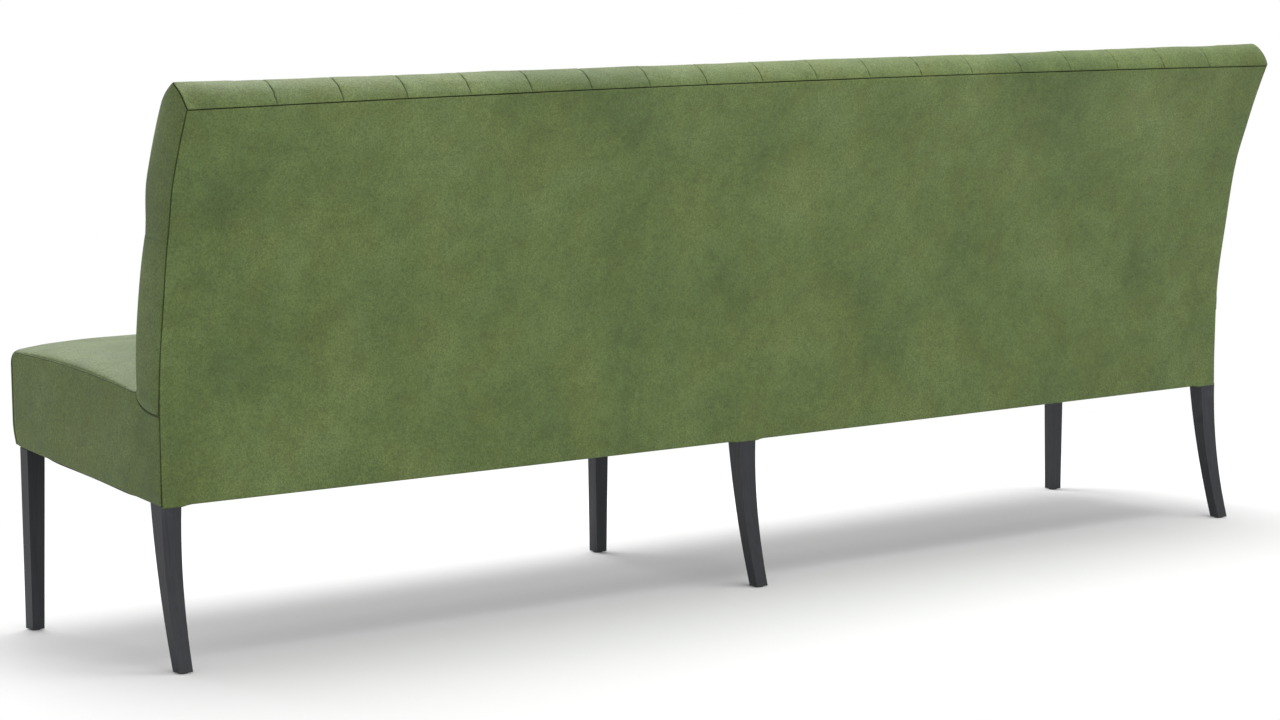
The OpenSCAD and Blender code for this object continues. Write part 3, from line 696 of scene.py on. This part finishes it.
def filled(rim, step, detail=()):
    """The points added inside a closed rim, and triangles over them and the rim. The points in
    detail are among those added."""
    low, high = rim.min(0), rim.max(0)
    added = []
    for k, z in enumerate(np.arange(low[1], high[1], step * math.sqrt(3) / 2)):
        added += [(y, z) for y in np.arange(low[0] + k % 2 * step / 2, high[0], step)]
    added = np.array(added)
    if len(detail):
        clear = np.min(np.linalg.norm(added[:, None] - detail[None], axis=-1), 1) > step / 2
        added = np.concatenate([added[clear], detail])
    added = added[is_inside(added, rim) & (distance_to(added, rim) > step / 4)]
    points = np.concatenate([rim, added])
    found = delaunay_2d_cdt([Vector(p) for p in points], [], [list(range(len(rim)))], 1, 1e-9)
    assert len(found[0]) == len(points), "the triangulation merged points of a panel"
    return added, [list(f) for f in found[2]]


def flat_panel(name, side, outline, relief, plane, edge_shade, detail=()):
    """A leather panel across X, with rolled edges along its outline. plane says how far out it
    lies, relief gives its height over that and the places that painted shade darkens, and the sixth
    argument how much painted shade darkens its rolled edges."""
    normals = mitred(outline)
    layers = [outline + normals * d for d, _ in corner_edge]
    added, inside = filled(layers[-1], PANEL_STEP, detail)
    flat = np.concatenate(layers + [added])
    m, rim_base = len(outline), len(outline) * (len(layers) - 1)
    height = np.concatenate([np.full(m, h) for _, h in corner_edge] + [np.zeros(len(added))])
    lift, dark = relief(flat, distance_to(flat, outline))
    out = plane(flat[:, 1])
    x = out + height + np.where(height < 0, np.minimum(lift, 0), lift)
    outer = np.stack([side * x, flat[:, 0], flat[:, 1]], -1)
    inner = outer.copy()
    inner[:, 0] = side * (np.minimum(x, out) - LEATHER_T)
    total = len(flat)
    faces = [[rim_base + v for v in f] for f in inside]
    for i in range(len(layers) - 1):
        for j in range(m):
            a, b = i * m + j, i * m + (j + 1) % m
            faces.append([a, b, b + m, a + m])
    faces = two_layers(faces, total, list(range(m)))
    made = mesh_object(name, np.concatenate([outer, inner]), faces)
    # Painted shade: the rolled edges and the relief's dark places are darkened in the leather's colour
    mark_seam_shade(made, np.concatenate([np.maximum(edge_shade * in_seam(height), dark), np.ones(total)]))
    return outward(made)


def corner_arc(lower=0.0, steps=10):
    """The back's rounded lower corner at its ends, from front to rear, or a line lower than it."""
    reach = back_t(REAR_SEAM_Z) - (rear_face(REAR_SEAM_Z) - rear_y)
    a = np.linspace(0, np.pi / 2, steps)
    z = REAR_SEAM_Z - PANEL_CORNER_H * np.sin(a) - lower
    return np.stack([rear_y - (reach + lower) * np.cos(a), z], -1)


def back_end_outline(side):
    up_z = np.linspace(REAR_SEAM_Z - PANEL_CORNER_H, roll_z, 60)[1:]
    down_z = np.linspace(roll_z, REAR_SEAM_Z, 60)[1:-1]
    return resampled(np.concatenate([
        corner_arc(),
        np.stack([rear_face(up_z), up_z], -1),
        end_rolls[side][1::3],
        np.stack([rear_face(down_z) - back_t(down_z), down_z], -1)]), RIM_STEP)


def back_plane(z):
    """The back's end panels lean out over the stitch line, and stand out where they lie over the seat."""
    return HALF + end_lean(z) + OVER_SEAT * ease((REAR_SEAM_Z + 0.006 - z) / 0.014)


def seat_plane(z):
    return np.full(len(z), HALF)


def in_space(points):
    return np.insert(points, 0, 0.0, axis=1)


def back_relief(points, distance):
    """The panel domes over its padding, with a faint crease from the end of the stitch line and
    painted shade along the crease.
    """
    dome_height, top_height, top_z = 0.0030, 0.003, 0.85
    crease_front_z, crease_rear_z, crease_front_y, crease_length = 0.680, 0.673, 0.147, 0.07
    crease_depth, fold_height, fold_above = 0.0016, 0.0008, 0.012
    y, z = points[:, 0], points[:, 1]
    dome = dome_height * (1 - np.exp(-distance / 0.016))
    top = top_height * bump(z - top_z, 0.05) * (1 - np.exp(-distance / 0.012))
    along = np.clip((y - crease_front_y) / crease_length, 0, 1)
    line = blend(crease_front_z, crease_rear_z, along)
    crease = -crease_depth * bump(z - line, 0.0025) + fold_height * bump(z - line - fold_above, 0.010)
    padding = uneven(in_space(points), (0.09, 0.0005, 41)) * ease(distance / 0.02)
    # Painted shade: a thin dark line along the crease
    dark = 0.25 * bump(z - line, 0.0016)
    return dome + top + crease * ease(distance / 0.004) + padding, dark


def seam_line(y):
    """Height of the seat's end seam."""
    s = (y - FRONT_Y) / (seat_rear_y - FRONT_Y)
    bow = SEAT_CROWN * SEAM_BOW_SHARE * np.sin(np.pi * np.clip(s, 0, 1))
    return blend(FRONT_SEAM_Z, REAR_SEAM_Z, s) + bow


def seat_front(z):
    """The seat's front is drawn in towards its lower edge."""
    rise = np.clip((z - FRONT_EDGE_Z) / (2 * SEAT_EDGE_R), 0, 1)
    return FRONT_Y + DRAW_IN * (1 - np.sin(np.pi / 2 * rise))


def seat_end_outline():
    """The panel starts behind the cushion's round front corner, and its lower edge hides the rail."""
    corner_y = FRONT_Y + SEAT_CORNER_R
    low_y = np.linspace(rear_y, corner_y + DRAW_IN, 60)[:-1]
    up_z = np.linspace(FRONT_EDGE_Z - FRONT_DROP, FRONT_SEAM_Z - FRONT_ROUND_R, 24)
    a = np.linspace(0, np.pi / 2, 6)[1:]
    round_y = corner_y + FRONT_ROUND_R * (1 - np.cos(a))
    round_z = FRONT_SEAM_Z - FRONT_ROUND_R * (1 - np.sin(a))
    back_front_y = float(rear_face(REAR_SEAM_Z) - back_t(REAR_SEAM_Z))
    top_y = np.linspace(corner_y + FRONT_ROUND_R, back_front_y, 60)
    drop = blend(FRONT_DROP, REAR_DROP, (low_y - FRONT_Y) / (rear_y - FRONT_Y))
    run = np.concatenate([
        np.stack([low_y, lower_edge(low_y) - drop], -1),
        np.stack([seat_front(up_z) + SEAT_CORNER_R, up_z], -1),
        np.stack([round_y, round_z], -1),
        np.stack([top_y, seam_line(top_y)], -1)[1:-1],
        corner_arc(-LAP)])
    return resampled(run[::-1], RIM_STEP)


def seat_relief(points, distance):
    """The panel domes over the end rail, sinks under the back's lower corner, and is pulled in
    beside it, with a line of painted shade along that corner."""
    dome_height, pull_depth, pull_y, pull_z, sink, groove_w = 0.0022, 0.0012, 0.110, 0.424, 0.0013, 0.0012
    y, z = points[:, 0], points[:, 1]
    dome = dome_height * (1 - np.exp(-distance / 0.030))
    pull = -pull_depth * bump(np.hypot(y - pull_y, z - pull_z), 0.010) * ease(distance / 0.002)
    # About 1 on the edge of the back's lower corner, and more outside it
    out = np.hypot((rear_y - y) / back_t(REAR_SEAM_Z), np.maximum(0, REAR_SEAM_Z - z) / PANEL_CORNER_H)
    under = ease((1.07 - out) / 0.07)
    padding = uneven(in_space(points), (0.13, 0.0007, 51)) * ease(distance / 0.03)
    # Painted shade: a dark line just outside the back's lower corner, where its panel overhangs the
    # seat's
    groove = bump(distance_to(points, corner_arc(groove_w, 24)), groove_w)
    return (dome + pull + padding) * (1 - under) - sink * under, groove


def end_panels():
    made = []
    # Rows of points that hold the groove and its painted shade beside the back's lower corner
    groove = np.concatenate([corner_arc(lower, 40) for lower in (0.0001, 0.0008, 0.0016, 0.0024, 0.0034)])
    outline = seat_end_outline()
    for side, name in SIDES:
        panel = flat_panel(f"back_end_{name}", side, back_end_outline(side), back_relief, back_plane, 1.0)
        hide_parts(f"back_end_panel_{name}")
        made.append(panel)
        panel = flat_panel(f"seat_end_{name}", side, outline, seat_relief, seat_plane, SEAT_SEAM_SHADE, groove)
        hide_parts(f"seat_end_panel_{name}")
        made.append(panel)
    return made


# Seat cushion

cushion_edge = rolled_edge(0.0009, math.radians(50), room=0.0004)


def crown_x(x):
    """Share of the full crown along the seat; it starts where the cover leaves its end seam."""
    from_seam = HALF - cushion_edge[-1][0] - np.abs(x)
    return np.sqrt(np.sin(np.pi / 2 * np.clip(from_seam / CROWN_FADE, 0, 1)))


def crown_y(s):
    """Share of the full crown from the seat's front, at 0, to its back, at 1."""
    return np.sqrt(np.maximum(0, np.sin(np.pi * np.clip(s, 0, 1))))


def seat_path(x):
    """The seat's section at x, from its lower front edge over the top to the crease at the back."""
    d = np.clip(np.abs(x) - HALF + SEAT_CORNER_R, 0, SEAT_CORNER_R)
    corner = SEAT_CORNER_R - math.sqrt(SEAT_CORNER_R ** 2 - d ** 2)
    shoulder = FRONT_SEAM_Z - SEAT_EDGE_R
    lift = CROWN_LIFT * float(crown_x(np.array(x)))
    z = np.linspace(FRONT_EDGE_Z - FRONT_DROP, shoulder, 24)
    front = FRONT_Y + corner
    up = np.stack([seat_front(z) + corner, z], -1)
    a = np.linspace(0, np.pi / 2, 14)[1:]
    s_round = (1 - np.cos(a)) * SEAT_EDGE_R / (seat_rear_y - front)
    round_z = shoulder + (SEAT_EDGE_R + lift * crown_y(s_round)) * np.sin(a)
    over = np.stack([front + (1 - np.cos(a)) * SEAT_EDGE_R, round_z], -1)
    s = np.linspace(s_round[-1], 1, 60)[1:]
    y = blend(front, seat_rear_y, s)
    # The crown keeps a little of its height where it meets the back
    top = np.stack([y, seam_line(y) + lift * crown_y(np.minimum(s, 0.985))], -1)
    return np.concatenate([up, over, top])


def seat_surface(x, q_places, height=0.0):
    """One row of the cushion's cover at x, with its height over the face."""
    path = seat_path(x)
    length = np.concatenate([[0], np.cumsum(np.linalg.norm(np.diff(path, axis=0), axis=1))])
    q = across(q_places, 0.0, length[-1])
    y, z = np.interp(q, length, path[:, 0]), np.interp(q, length, path[:, 1])
    along_y, along_z = np.gradient(y), np.gradient(z)
    size = np.maximum(np.hypot(along_y, along_z), 1e-9)
    return np.stack([np.full(len(q), x), y - along_z / size * height, z + along_y / size * height], -1)


def seat_cushion():
    rear_edge = rolled_edge(0.010, 0, 0.012)
    from_end = np.array([0.0004, 0.0009, 0.0016, 0.0026, 0.004, 0.006, 0.009, 0.013,
                         0.018, 0.025, 0.034, 0.046, 0.06, 0.08, 0.1])
    x_shares = np.concatenate([from_end / (2 * HALF), np.linspace(0.05, 0.5, 110)])
    x_shares = np.concatenate([x_shares, 1 - x_shares[::-1][1:]])
    x_places = strip(cushion_edge, cushion_edge, x_shares)
    q_places = strip(fold_edge, rear_edge, np.linspace(0, 1, 110))
    xs = across(x_places, -HALF, HALF)
    flat = np.array([seat_surface(x, q_places) for x in xs])
    swell = simulated_swell(flat, 0.008)
    # The front and the ends are boxed in by their seams and keep their shape
    free = ease((flat[..., 1] - FRONT_Y - 0.03) / 0.10) * ease((HALF - np.abs(flat[..., 0])) / 0.25)
    edges = edge_heights(x_places, q_places)
    heights = edges + swell * free
    outer = np.array([seat_surface(x, q_places, h) for x, h in zip(xs, heights)])
    inside = ease((HALF - np.abs(outer[..., 0])) / 0.06) * ease((outer[..., 2] - FRONT_EDGE_Z) / 0.05)
    padding = uneven(outer, (0.30, 0.0012, 61), (0.11, 0.0003, 62)) * inside
    on_top = outer[..., 2] > FRONT_SEAM_Z - 0.03
    outer[..., 2] += padding * on_top
    outer[..., 1] += padding * ~on_top
    under_y = np.clip(outer[..., 1], RAIL_FRONT_Y - GAP, seat_rear_y - 0.001)
    front_z = np.maximum(outer[..., 2], FRONT_EDGE_Z + 0.001)
    under_z = np.where(outer[..., 2] < FRONT_EDGE_Z + RAIL_TOP, front_z, lower_edge(under_y) + RAIL_TOP)
    under_z = np.minimum(under_z, outer[..., 2])
    inner = np.stack([np.clip(outer[..., 0], -INNER_HALF, INNER_HALF), under_y, under_z], -1)
    # Painted shade darkens the cushion's rolled edges where they go into their seams
    made = closed_grid("seat_cushion", outer, inner, SEAT_SEAM_SHADE * in_seam(edges))
    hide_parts("seat_cover", "seat_foam", "seat_front_padding")
    return made


# Dust cover: black cloth under the seat, cut out round the legs


def notched_edge(row, edge, deep, reach):
    """The cloth's front or rear edge from its -X end to its +X end. The end legs reach past it."""
    found = []
    for end in reversed(PLACES):
        low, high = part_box(f"{row}_leg_{end}")
        low_x, high_x = max(low.x - LEG_CLEAR, -reach), min(high.x + LEG_CLEAR, reach)
        found += [(low_x, edge), (low_x, deep), (high_x, deep), (high_x, edge)]
    assert found[0][0] == -reach and found[-1][0] == reach, "an end leg stands inside the dust cover"
    return found[1:-1]


def dust_cover():
    reach = HALF - CLOTH_INSET
    front, rear = FRONT_Y + DRAW_IN + CLOTH_FRONT_IN, rear_y - CLOTH_INSET
    behind_front_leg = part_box("front_leg_left")[1].y + LEG_CLEAR
    run = notched_edge("front", front, behind_front_leg, reach)
    run += notched_edge("rear", rear, rear_y - REAR_LEG_D - LEG_CLEAR, reach)[::-1]
    rim = resampled(np.array(run), 0.015)
    added, faces = filled(rim, 0.02)
    flat = np.concatenate([rim, added])
    x, y = flat[:, 0], flat[:, 1]
    # It hangs a little between the two rails that it is stapled to
    sag = CLOTH_SAG * ease((np.minimum(y - front, rear - y) - 0.03) / 0.08)
    creases = uneven(np.stack([x, y, 0 * x], -1), (0.16, 0.25, 71))
    top = lower_edge(y) - GAP - sag * (1 + creases)
    points = np.concatenate([np.stack([x, y, top], -1), np.stack([x, y, top - CLOTH_T], -1)])
    faces = two_layers(faces, len(flat), list(range(len(rim))))
    made = outward(mesh_object("dust_cover_cloth", points, faces))
    made.data.materials.append(MATERIALS["cloth"])
    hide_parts("dust_cover")
    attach(made, "root")


# Materials


def new_material(name):
    """A new material with its node tree, its shader and the object's own coordinates."""
    made = bpy.data.materials.new(name)
    made.use_nodes = True
    tree = made.node_tree
    shader = tree.nodes["Principled BSDF"]
    where = tree.nodes.new("ShaderNodeTexCoord").outputs["Object"]
    return made, tree, shader, where


def settings(node, **values):
    """Sets a node's inputs. A low line stands for a space in an input's name."""
    for name, value in values.items():
        node.inputs[name.replace("_", " ")].default_value = value


def stretched(tree, where, scale):
    made = tree.nodes.new("ShaderNodeMapping")
    settings(made, Scale=scale)
    tree.links.new(where, made.inputs["Vector"])
    return made.outputs["Vector"]


def noise(tree, where, scale, detail, roughness, stretch=None):
    if stretch:
        where = stretched(tree, where, stretch)
    made = tree.nodes.new("ShaderNodeTexNoise")
    settings(made, Scale=scale, Detail=detail, Roughness=roughness)
    tree.links.new(where, made.inputs["Vector"])
    return made.outputs["Fac"]


def ramp(tree, value, *stops):
    """Turns a value into colour by stops of (value, colour)."""
    made = tree.nodes.new("ShaderNodeValToRGB")
    elements = made.color_ramp.elements
    for i, (at, colour) in enumerate(stops):
        element = elements[i] if i < 2 else elements.new(at)
        element.position = at
        element.color = (*colour, 1)
    tree.links.new(value, made.inputs["Fac"])
    return made.outputs["Color"]


def grey(level):
    return (level, level, level)


def multiplied(tree, factor, a, b):
    """Colour a, multiplied by colour b with the given strength."""
    made = tree.nodes.new("ShaderNodeMix")
    made.data_type = "RGBA"
    made.blend_type = "MULTIPLY"
    made.inputs[0].default_value = factor
    tree.links.new(a, made.inputs[6])
    tree.links.new(b, made.inputs[7])
    return made.outputs[2]


def remapped(tree, value, low, high, from_low=0.0, from_high=1.0):
    made = tree.nodes.new("ShaderNodeMapRange")
    settings(made, From_Min=from_low, From_Max=from_high, To_Min=low, To_Max=high)
    tree.links.new(value, made.inputs["Value"])
    return made.outputs["Result"]


def bumped(tree, shader, layers):
    """Stacks bump layers of (height, strength, metres)."""
    last = None
    for height, strength, depth in layers:
        made = tree.nodes.new("ShaderNodeBump")
        settings(made, Strength=strength, Distance=depth)
        tree.links.new(height, made.inputs["Height"])
        if last:
            tree.links.new(last, made.inputs["Normal"])
        last = made.outputs["Normal"]
    tree.links.new(last, shader.inputs["Normal"])


def leather():
    """Mottled, slightly waxy leather with a fine pebble grain, and painted shade where it goes into seams
    and creases.
    """
    made, tree, shader, where = new_material("green_leather")
    deep_green, green, pale_green = (0.082, 0.122, 0.040), (0.109, 0.154, 0.050), (0.138, 0.188, 0.067)
    clouds = noise(tree, where, 5.0, 6.0, 0.62)
    base = ramp(tree, clouds, (0.32, deep_green), (0.50, green), (0.70, pale_green))
    patches = noise(tree, where, 9.5, 6.0, 0.65)
    base = multiplied(tree, 0.9, base, ramp(tree, patches, (0.42, grey(1)), (0.72, (1.0, 0.91, 0.84))))
    blotches = noise(tree, where, 34.0, 4.0, 0.6)
    base = multiplied(tree, 1.0, base, ramp(tree, blotches, (0.32, grey(0.91)), (0.68, grey(1.08))))
    fine = noise(tree, where, 230.0, 3.0, 0.7)
    base = multiplied(tree, 1.0, base, ramp(tree, fine, (0.34, grey(0.82)), (0.66, grey(1.15))))
    cells = tree.nodes.new("ShaderNodeTexVoronoi")
    cells.feature = "SMOOTH_F1"
    settings(cells, Scale=430.0, Smoothness=0.35)
    tree.links.new(where, cells.inputs["Vector"])
    grain = remapped(tree, cells.outputs["Distance"], 1.0, 0.0, 0.15, 0.75)
    base = multiplied(tree, 0.8, base, ramp(tree, grain, (0.1, grey(0.72)), (0.7, grey(1.08))))
    # Painted shade: the leather's colour is darker where it goes into a seam or crease, as the seam
    # attribute says
    seam = tree.nodes.new("ShaderNodeAttribute")
    seam.attribute_name = "seam"
    seam_shade_colour = ramp(tree, seam.outputs["Fac"], (0.0, grey(1)), (0.85, grey(0.38)))
    base = multiplied(tree, 1.0, base, seam_shade_colour)
    tree.links.new(base, shader.inputs["Base Color"])
    tree.links.new(remapped(tree, patches, 0.44, 0.60), shader.inputs["Roughness"])
    settings(shader, Specular_IOR_Level=0.30, Specular_Tint=(0.88, 1.0, 0.66, 1))
    bumped(tree, shader, [(blotches, 0.2, 0.0010), (fine, 0.3, 0.0005), (grain, 0.5, 0.0004)])
    return made


def stained_wood():
    made, tree, shader, where = new_material("black_wood")
    grain = noise(tree, where, 9.0, 6.0, 0.65, (18.0, 18.0, 1.2))
    pores = noise(tree, where, 60.0, 3.0, 0.7, (14.0, 14.0, 0.7))
    base = ramp(tree, grain, (0.3, (0.010, 0.011, 0.014)), (0.7, (0.022, 0.024, 0.030)))
    tree.links.new(base, shader.inputs["Base Color"])
    tree.links.new(remapped(tree, pores, 0.34, 0.52), shader.inputs["Roughness"])
    settings(shader, Specular_IOR_Level=0.34)
    bumped(tree, shader, [(grain, 0.2, 0.0006), (pores, 0.35, 0.0004)])
    return made


def plain(name, dark, pale, scale, rough, stretch=None, metallic=0.0, depth=0.0003):
    """A simple grained material for what lies inside or under the bench."""
    made, tree, shader, where = new_material(name)
    grain = noise(tree, where, scale, 4.0, 0.6, stretch)
    tree.links.new(ramp(tree, grain, (0.3, dark), (0.7, pale)), shader.inputs["Base Color"])
    tree.links.new(remapped(tree, grain, rough - 0.06, rough + 0.06), shader.inputs["Roughness"])
    settings(shader, Metallic=metallic)
    bumped(tree, shader, [(grain, 0.3, depth)])
    return made


MATERIALS = {
    "green_leather": leather(),
    "black_wood": stained_wood(),
    "beech": plain("pale_beech", (0.42, 0.27, 0.14), (0.56, 0.38, 0.21), 14, 0.6, (1.0, 12.0, 12.0)),
    "plywood": plain("pale_plywood", (0.52, 0.38, 0.22), (0.66, 0.50, 0.31), 14, 0.65, (1.0, 4.0, 40.0)),
    "steel": plain("zinc_steel", (0.42, 0.43, 0.45), (0.62, 0.63, 0.65), 220, 0.35, None, 1.0, 0.00005),
    "nylon": plain("dark_nylon", grey(0.030), grey(0.046), 300, 0.5),
    "felt": plain("grey_felt", grey(0.10), grey(0.20), 260, 0.95),
    "cloth": plain("black_cloth", grey(0.012), grey(0.03), 500, 0.9),
    "board": plain("grey_board", (0.30, 0.27, 0.22), (0.42, 0.38, 0.31), 90, 0.9)}

# The first word that a node's name holds gives its material
LOOKS = {
    "foot_glides": "nylon",
    "bolt": "steel", "screws": "steel", "staples": "steel", "springs": "steel",
    "clips": "nylon", "corner_blocks": "beech", "tack_strip": "board", "board": "board", "felt": "felt",
    "webbing": "cloth", "dust_cover": "cloth",
    "rail": "beech", "post": "plywood", "rib": "plywood", "leg": "black_wood"}


def dress_nodes():
    for name, item in nodes.items():
        word = next((k for k in LOOKS if k in name), None)
        look = MATERIALS[LOOKS[word]] if word else MATERIALS["green_leather"]
        for slot in item.material_slots:
            slot.material = look


def ease_leg_edges():
    """The legs' edges are sanded round."""
    for row in ("front", "rear"):
        for end in PLACES:
            leg = nodes[f"{row}_leg_{end}"]
            weld = leg.modifiers.new("weld", "WELD")
            weld.merge_threshold = 1e-5
            eased = leg.modifiers.new("eased", "BEVEL")
            eased.width = 0.0012
            eased.segments = 3
            eased.limit_method = "ANGLE"
            eased.angle_limit = math.radians(50)
            eased.harden_normals = True


def cover(pieces):
    """Leather pieces get their material and ride on the bench."""
    for item in pieces:
        item.data.materials.append(MATERIALS["green_leather"])
        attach(item, "root")


# Floor, light and camera

FLOOR_GLOW = 0.06
WHITE_FROM, WHITE_TO = 0.55, 1.25
END_SHARE = 0.45
BACKDROP_LIGHT = 0.55


def computed(tree, operation, a, b):
    made = tree.nodes.new("ShaderNodeMath")
    made.operation = operation
    tree.links.new(a, made.inputs[0])
    if isinstance(b, float):
        made.inputs[1].default_value = b
    else:
        tree.links.new(b, made.inputs[1])
    return made.outputs[0]


def seen_or_mirrored(tree):
    """1 for camera, glossy and transmission rays, which see the backdrop itself."""
    rays = tree.nodes.new("ShaderNodeLightPath").outputs
    total = computed(tree, "MAXIMUM", rays["Is Camera Ray"], rays["Is Glossy Ray"])
    return computed(tree, "MAXIMUM", total, rays["Is Transmission Ray"])


def white_glow(tree, strength):
    made = tree.nodes.new("ShaderNodeEmission")
    settings(made, Color=(1, 1, 1, 1))
    tree.links.new(strength, made.inputs["Strength"])
    return made.outputs[0]


def floor():
    """A matt white floor that keeps the bench's shadow and goes over into the white backdrop."""
    size = 60.0
    corners = [(-size, -size, 0), (size, -size, 0), (size, size, 0), (-size, size, 0)]
    made = mesh_object("floor", corners, [[0, 1, 2, 3]])
    look, tree, shader, where = new_material("floor_white")
    settings(shader, Base_Color=(0.93, 0.93, 0.93, 1), Roughness=0.9, Specular_IOR_Level=0.0)
    seen = seen_or_mirrored(tree)
    lifted = tree.nodes.new("ShaderNodeAddShader")
    tree.links.new(shader.outputs[0], lifted.inputs[0])
    tree.links.new(white_glow(tree, computed(tree, "MULTIPLY", seen, FLOOR_GLOW)), lifted.inputs[1])
    # The floor's white begins nearer to the bench's long sides than to its ends
    around = stretched(tree, where, (END_SHARE, 1, 1))
    away = tree.nodes.new("ShaderNodeVectorMath")
    away.operation = "LENGTH"
    tree.links.new(around, away.inputs[0])
    far = remapped(tree, away.outputs["Value"], 0.0, 1.0, WHITE_FROM, WHITE_TO)
    both = tree.nodes.new("ShaderNodeMixShader")
    tree.links.new(computed(tree, "MULTIPLY", far, seen), both.inputs[0])
    tree.links.new(lifted.outputs[0], both.inputs[1])
    tree.links.new(white_glow(tree, seen), both.inputs[2])
    tree.links.new(both.outputs[0], tree.nodes["Material Output"].inputs["Surface"])
    made.data.materials.append(look)


def backdrop():
    world = bpy.data.worlds.new("studio")
    scene.world = world
    world.use_nodes = True
    tree = world.node_tree
    sky = tree.nodes["Background"]
    settings(sky, Color=(1, 1, 1, 1))
    strength = remapped(tree, seen_or_mirrored(tree), BACKDROP_LIGHT, 1.0)
    tree.links.new(strength, sky.inputs["Strength"])


def lamp(name, at, towards, size, power):
    data = bpy.data.lights.new(name, "AREA")
    data.shape = "RECTANGLE"
    data.size, data.size_y = size
    data.energy = power
    made = placed(name, data)
    made.location = at
    made.rotation_euler = (Vector(towards) - Vector(at)).to_track_quat("-Z", "Y").to_euler()


def camera():
    data = bpy.data.cameras.new("camera")
    data.sensor_width = SENSOR_MM
    data.lens = FOCAL_PX / PHOTO_W * SENSOR_MM
    data.shift_y = CAMERA_SHIFT_Y
    data.clip_start, data.clip_end = 0.1, 200
    made = placed("camera", data)
    azimuth, elevation = math.radians(CAMERA_AZIMUTH), math.radians(CAMERA_ELEVATION)
    level = math.cos(elevation)
    back = Vector((math.sin(azimuth) * level, -math.cos(azimuth) * level, math.sin(elevation)))
    right = Vector((math.cos(azimuth), math.sin(azimuth), 0))
    turn = Matrix((right, back.cross(right), back)).transposed().to_4x4()
    made.matrix_world = Matrix.Translation(CAMERA_AT) @ turn
    scene.camera = made


cover([outside_back(), inside_back_upper(), inside_back_lower(), seat_cushion()] + end_panels())
dust_cover()
dress_nodes()
ease_leg_edges()
floor()
backdrop()
lamp("overhead", (-0.5, -0.30, 3.1), (-0.1, -0.05, 0.4), (3.4, 2.0), 95)
lamp("rear_fill", (0.7, 4.4, 1.5), (-0.2, 0.1, 0.5), (3.0, 2.0), 59)
lamp("front_fill", (0.6, -2.8, 2.6), (0.4, -0.1, 0.45), (2.4, 1.2), 33)
camera()
scene.view_settings.view_transform = "Standard"
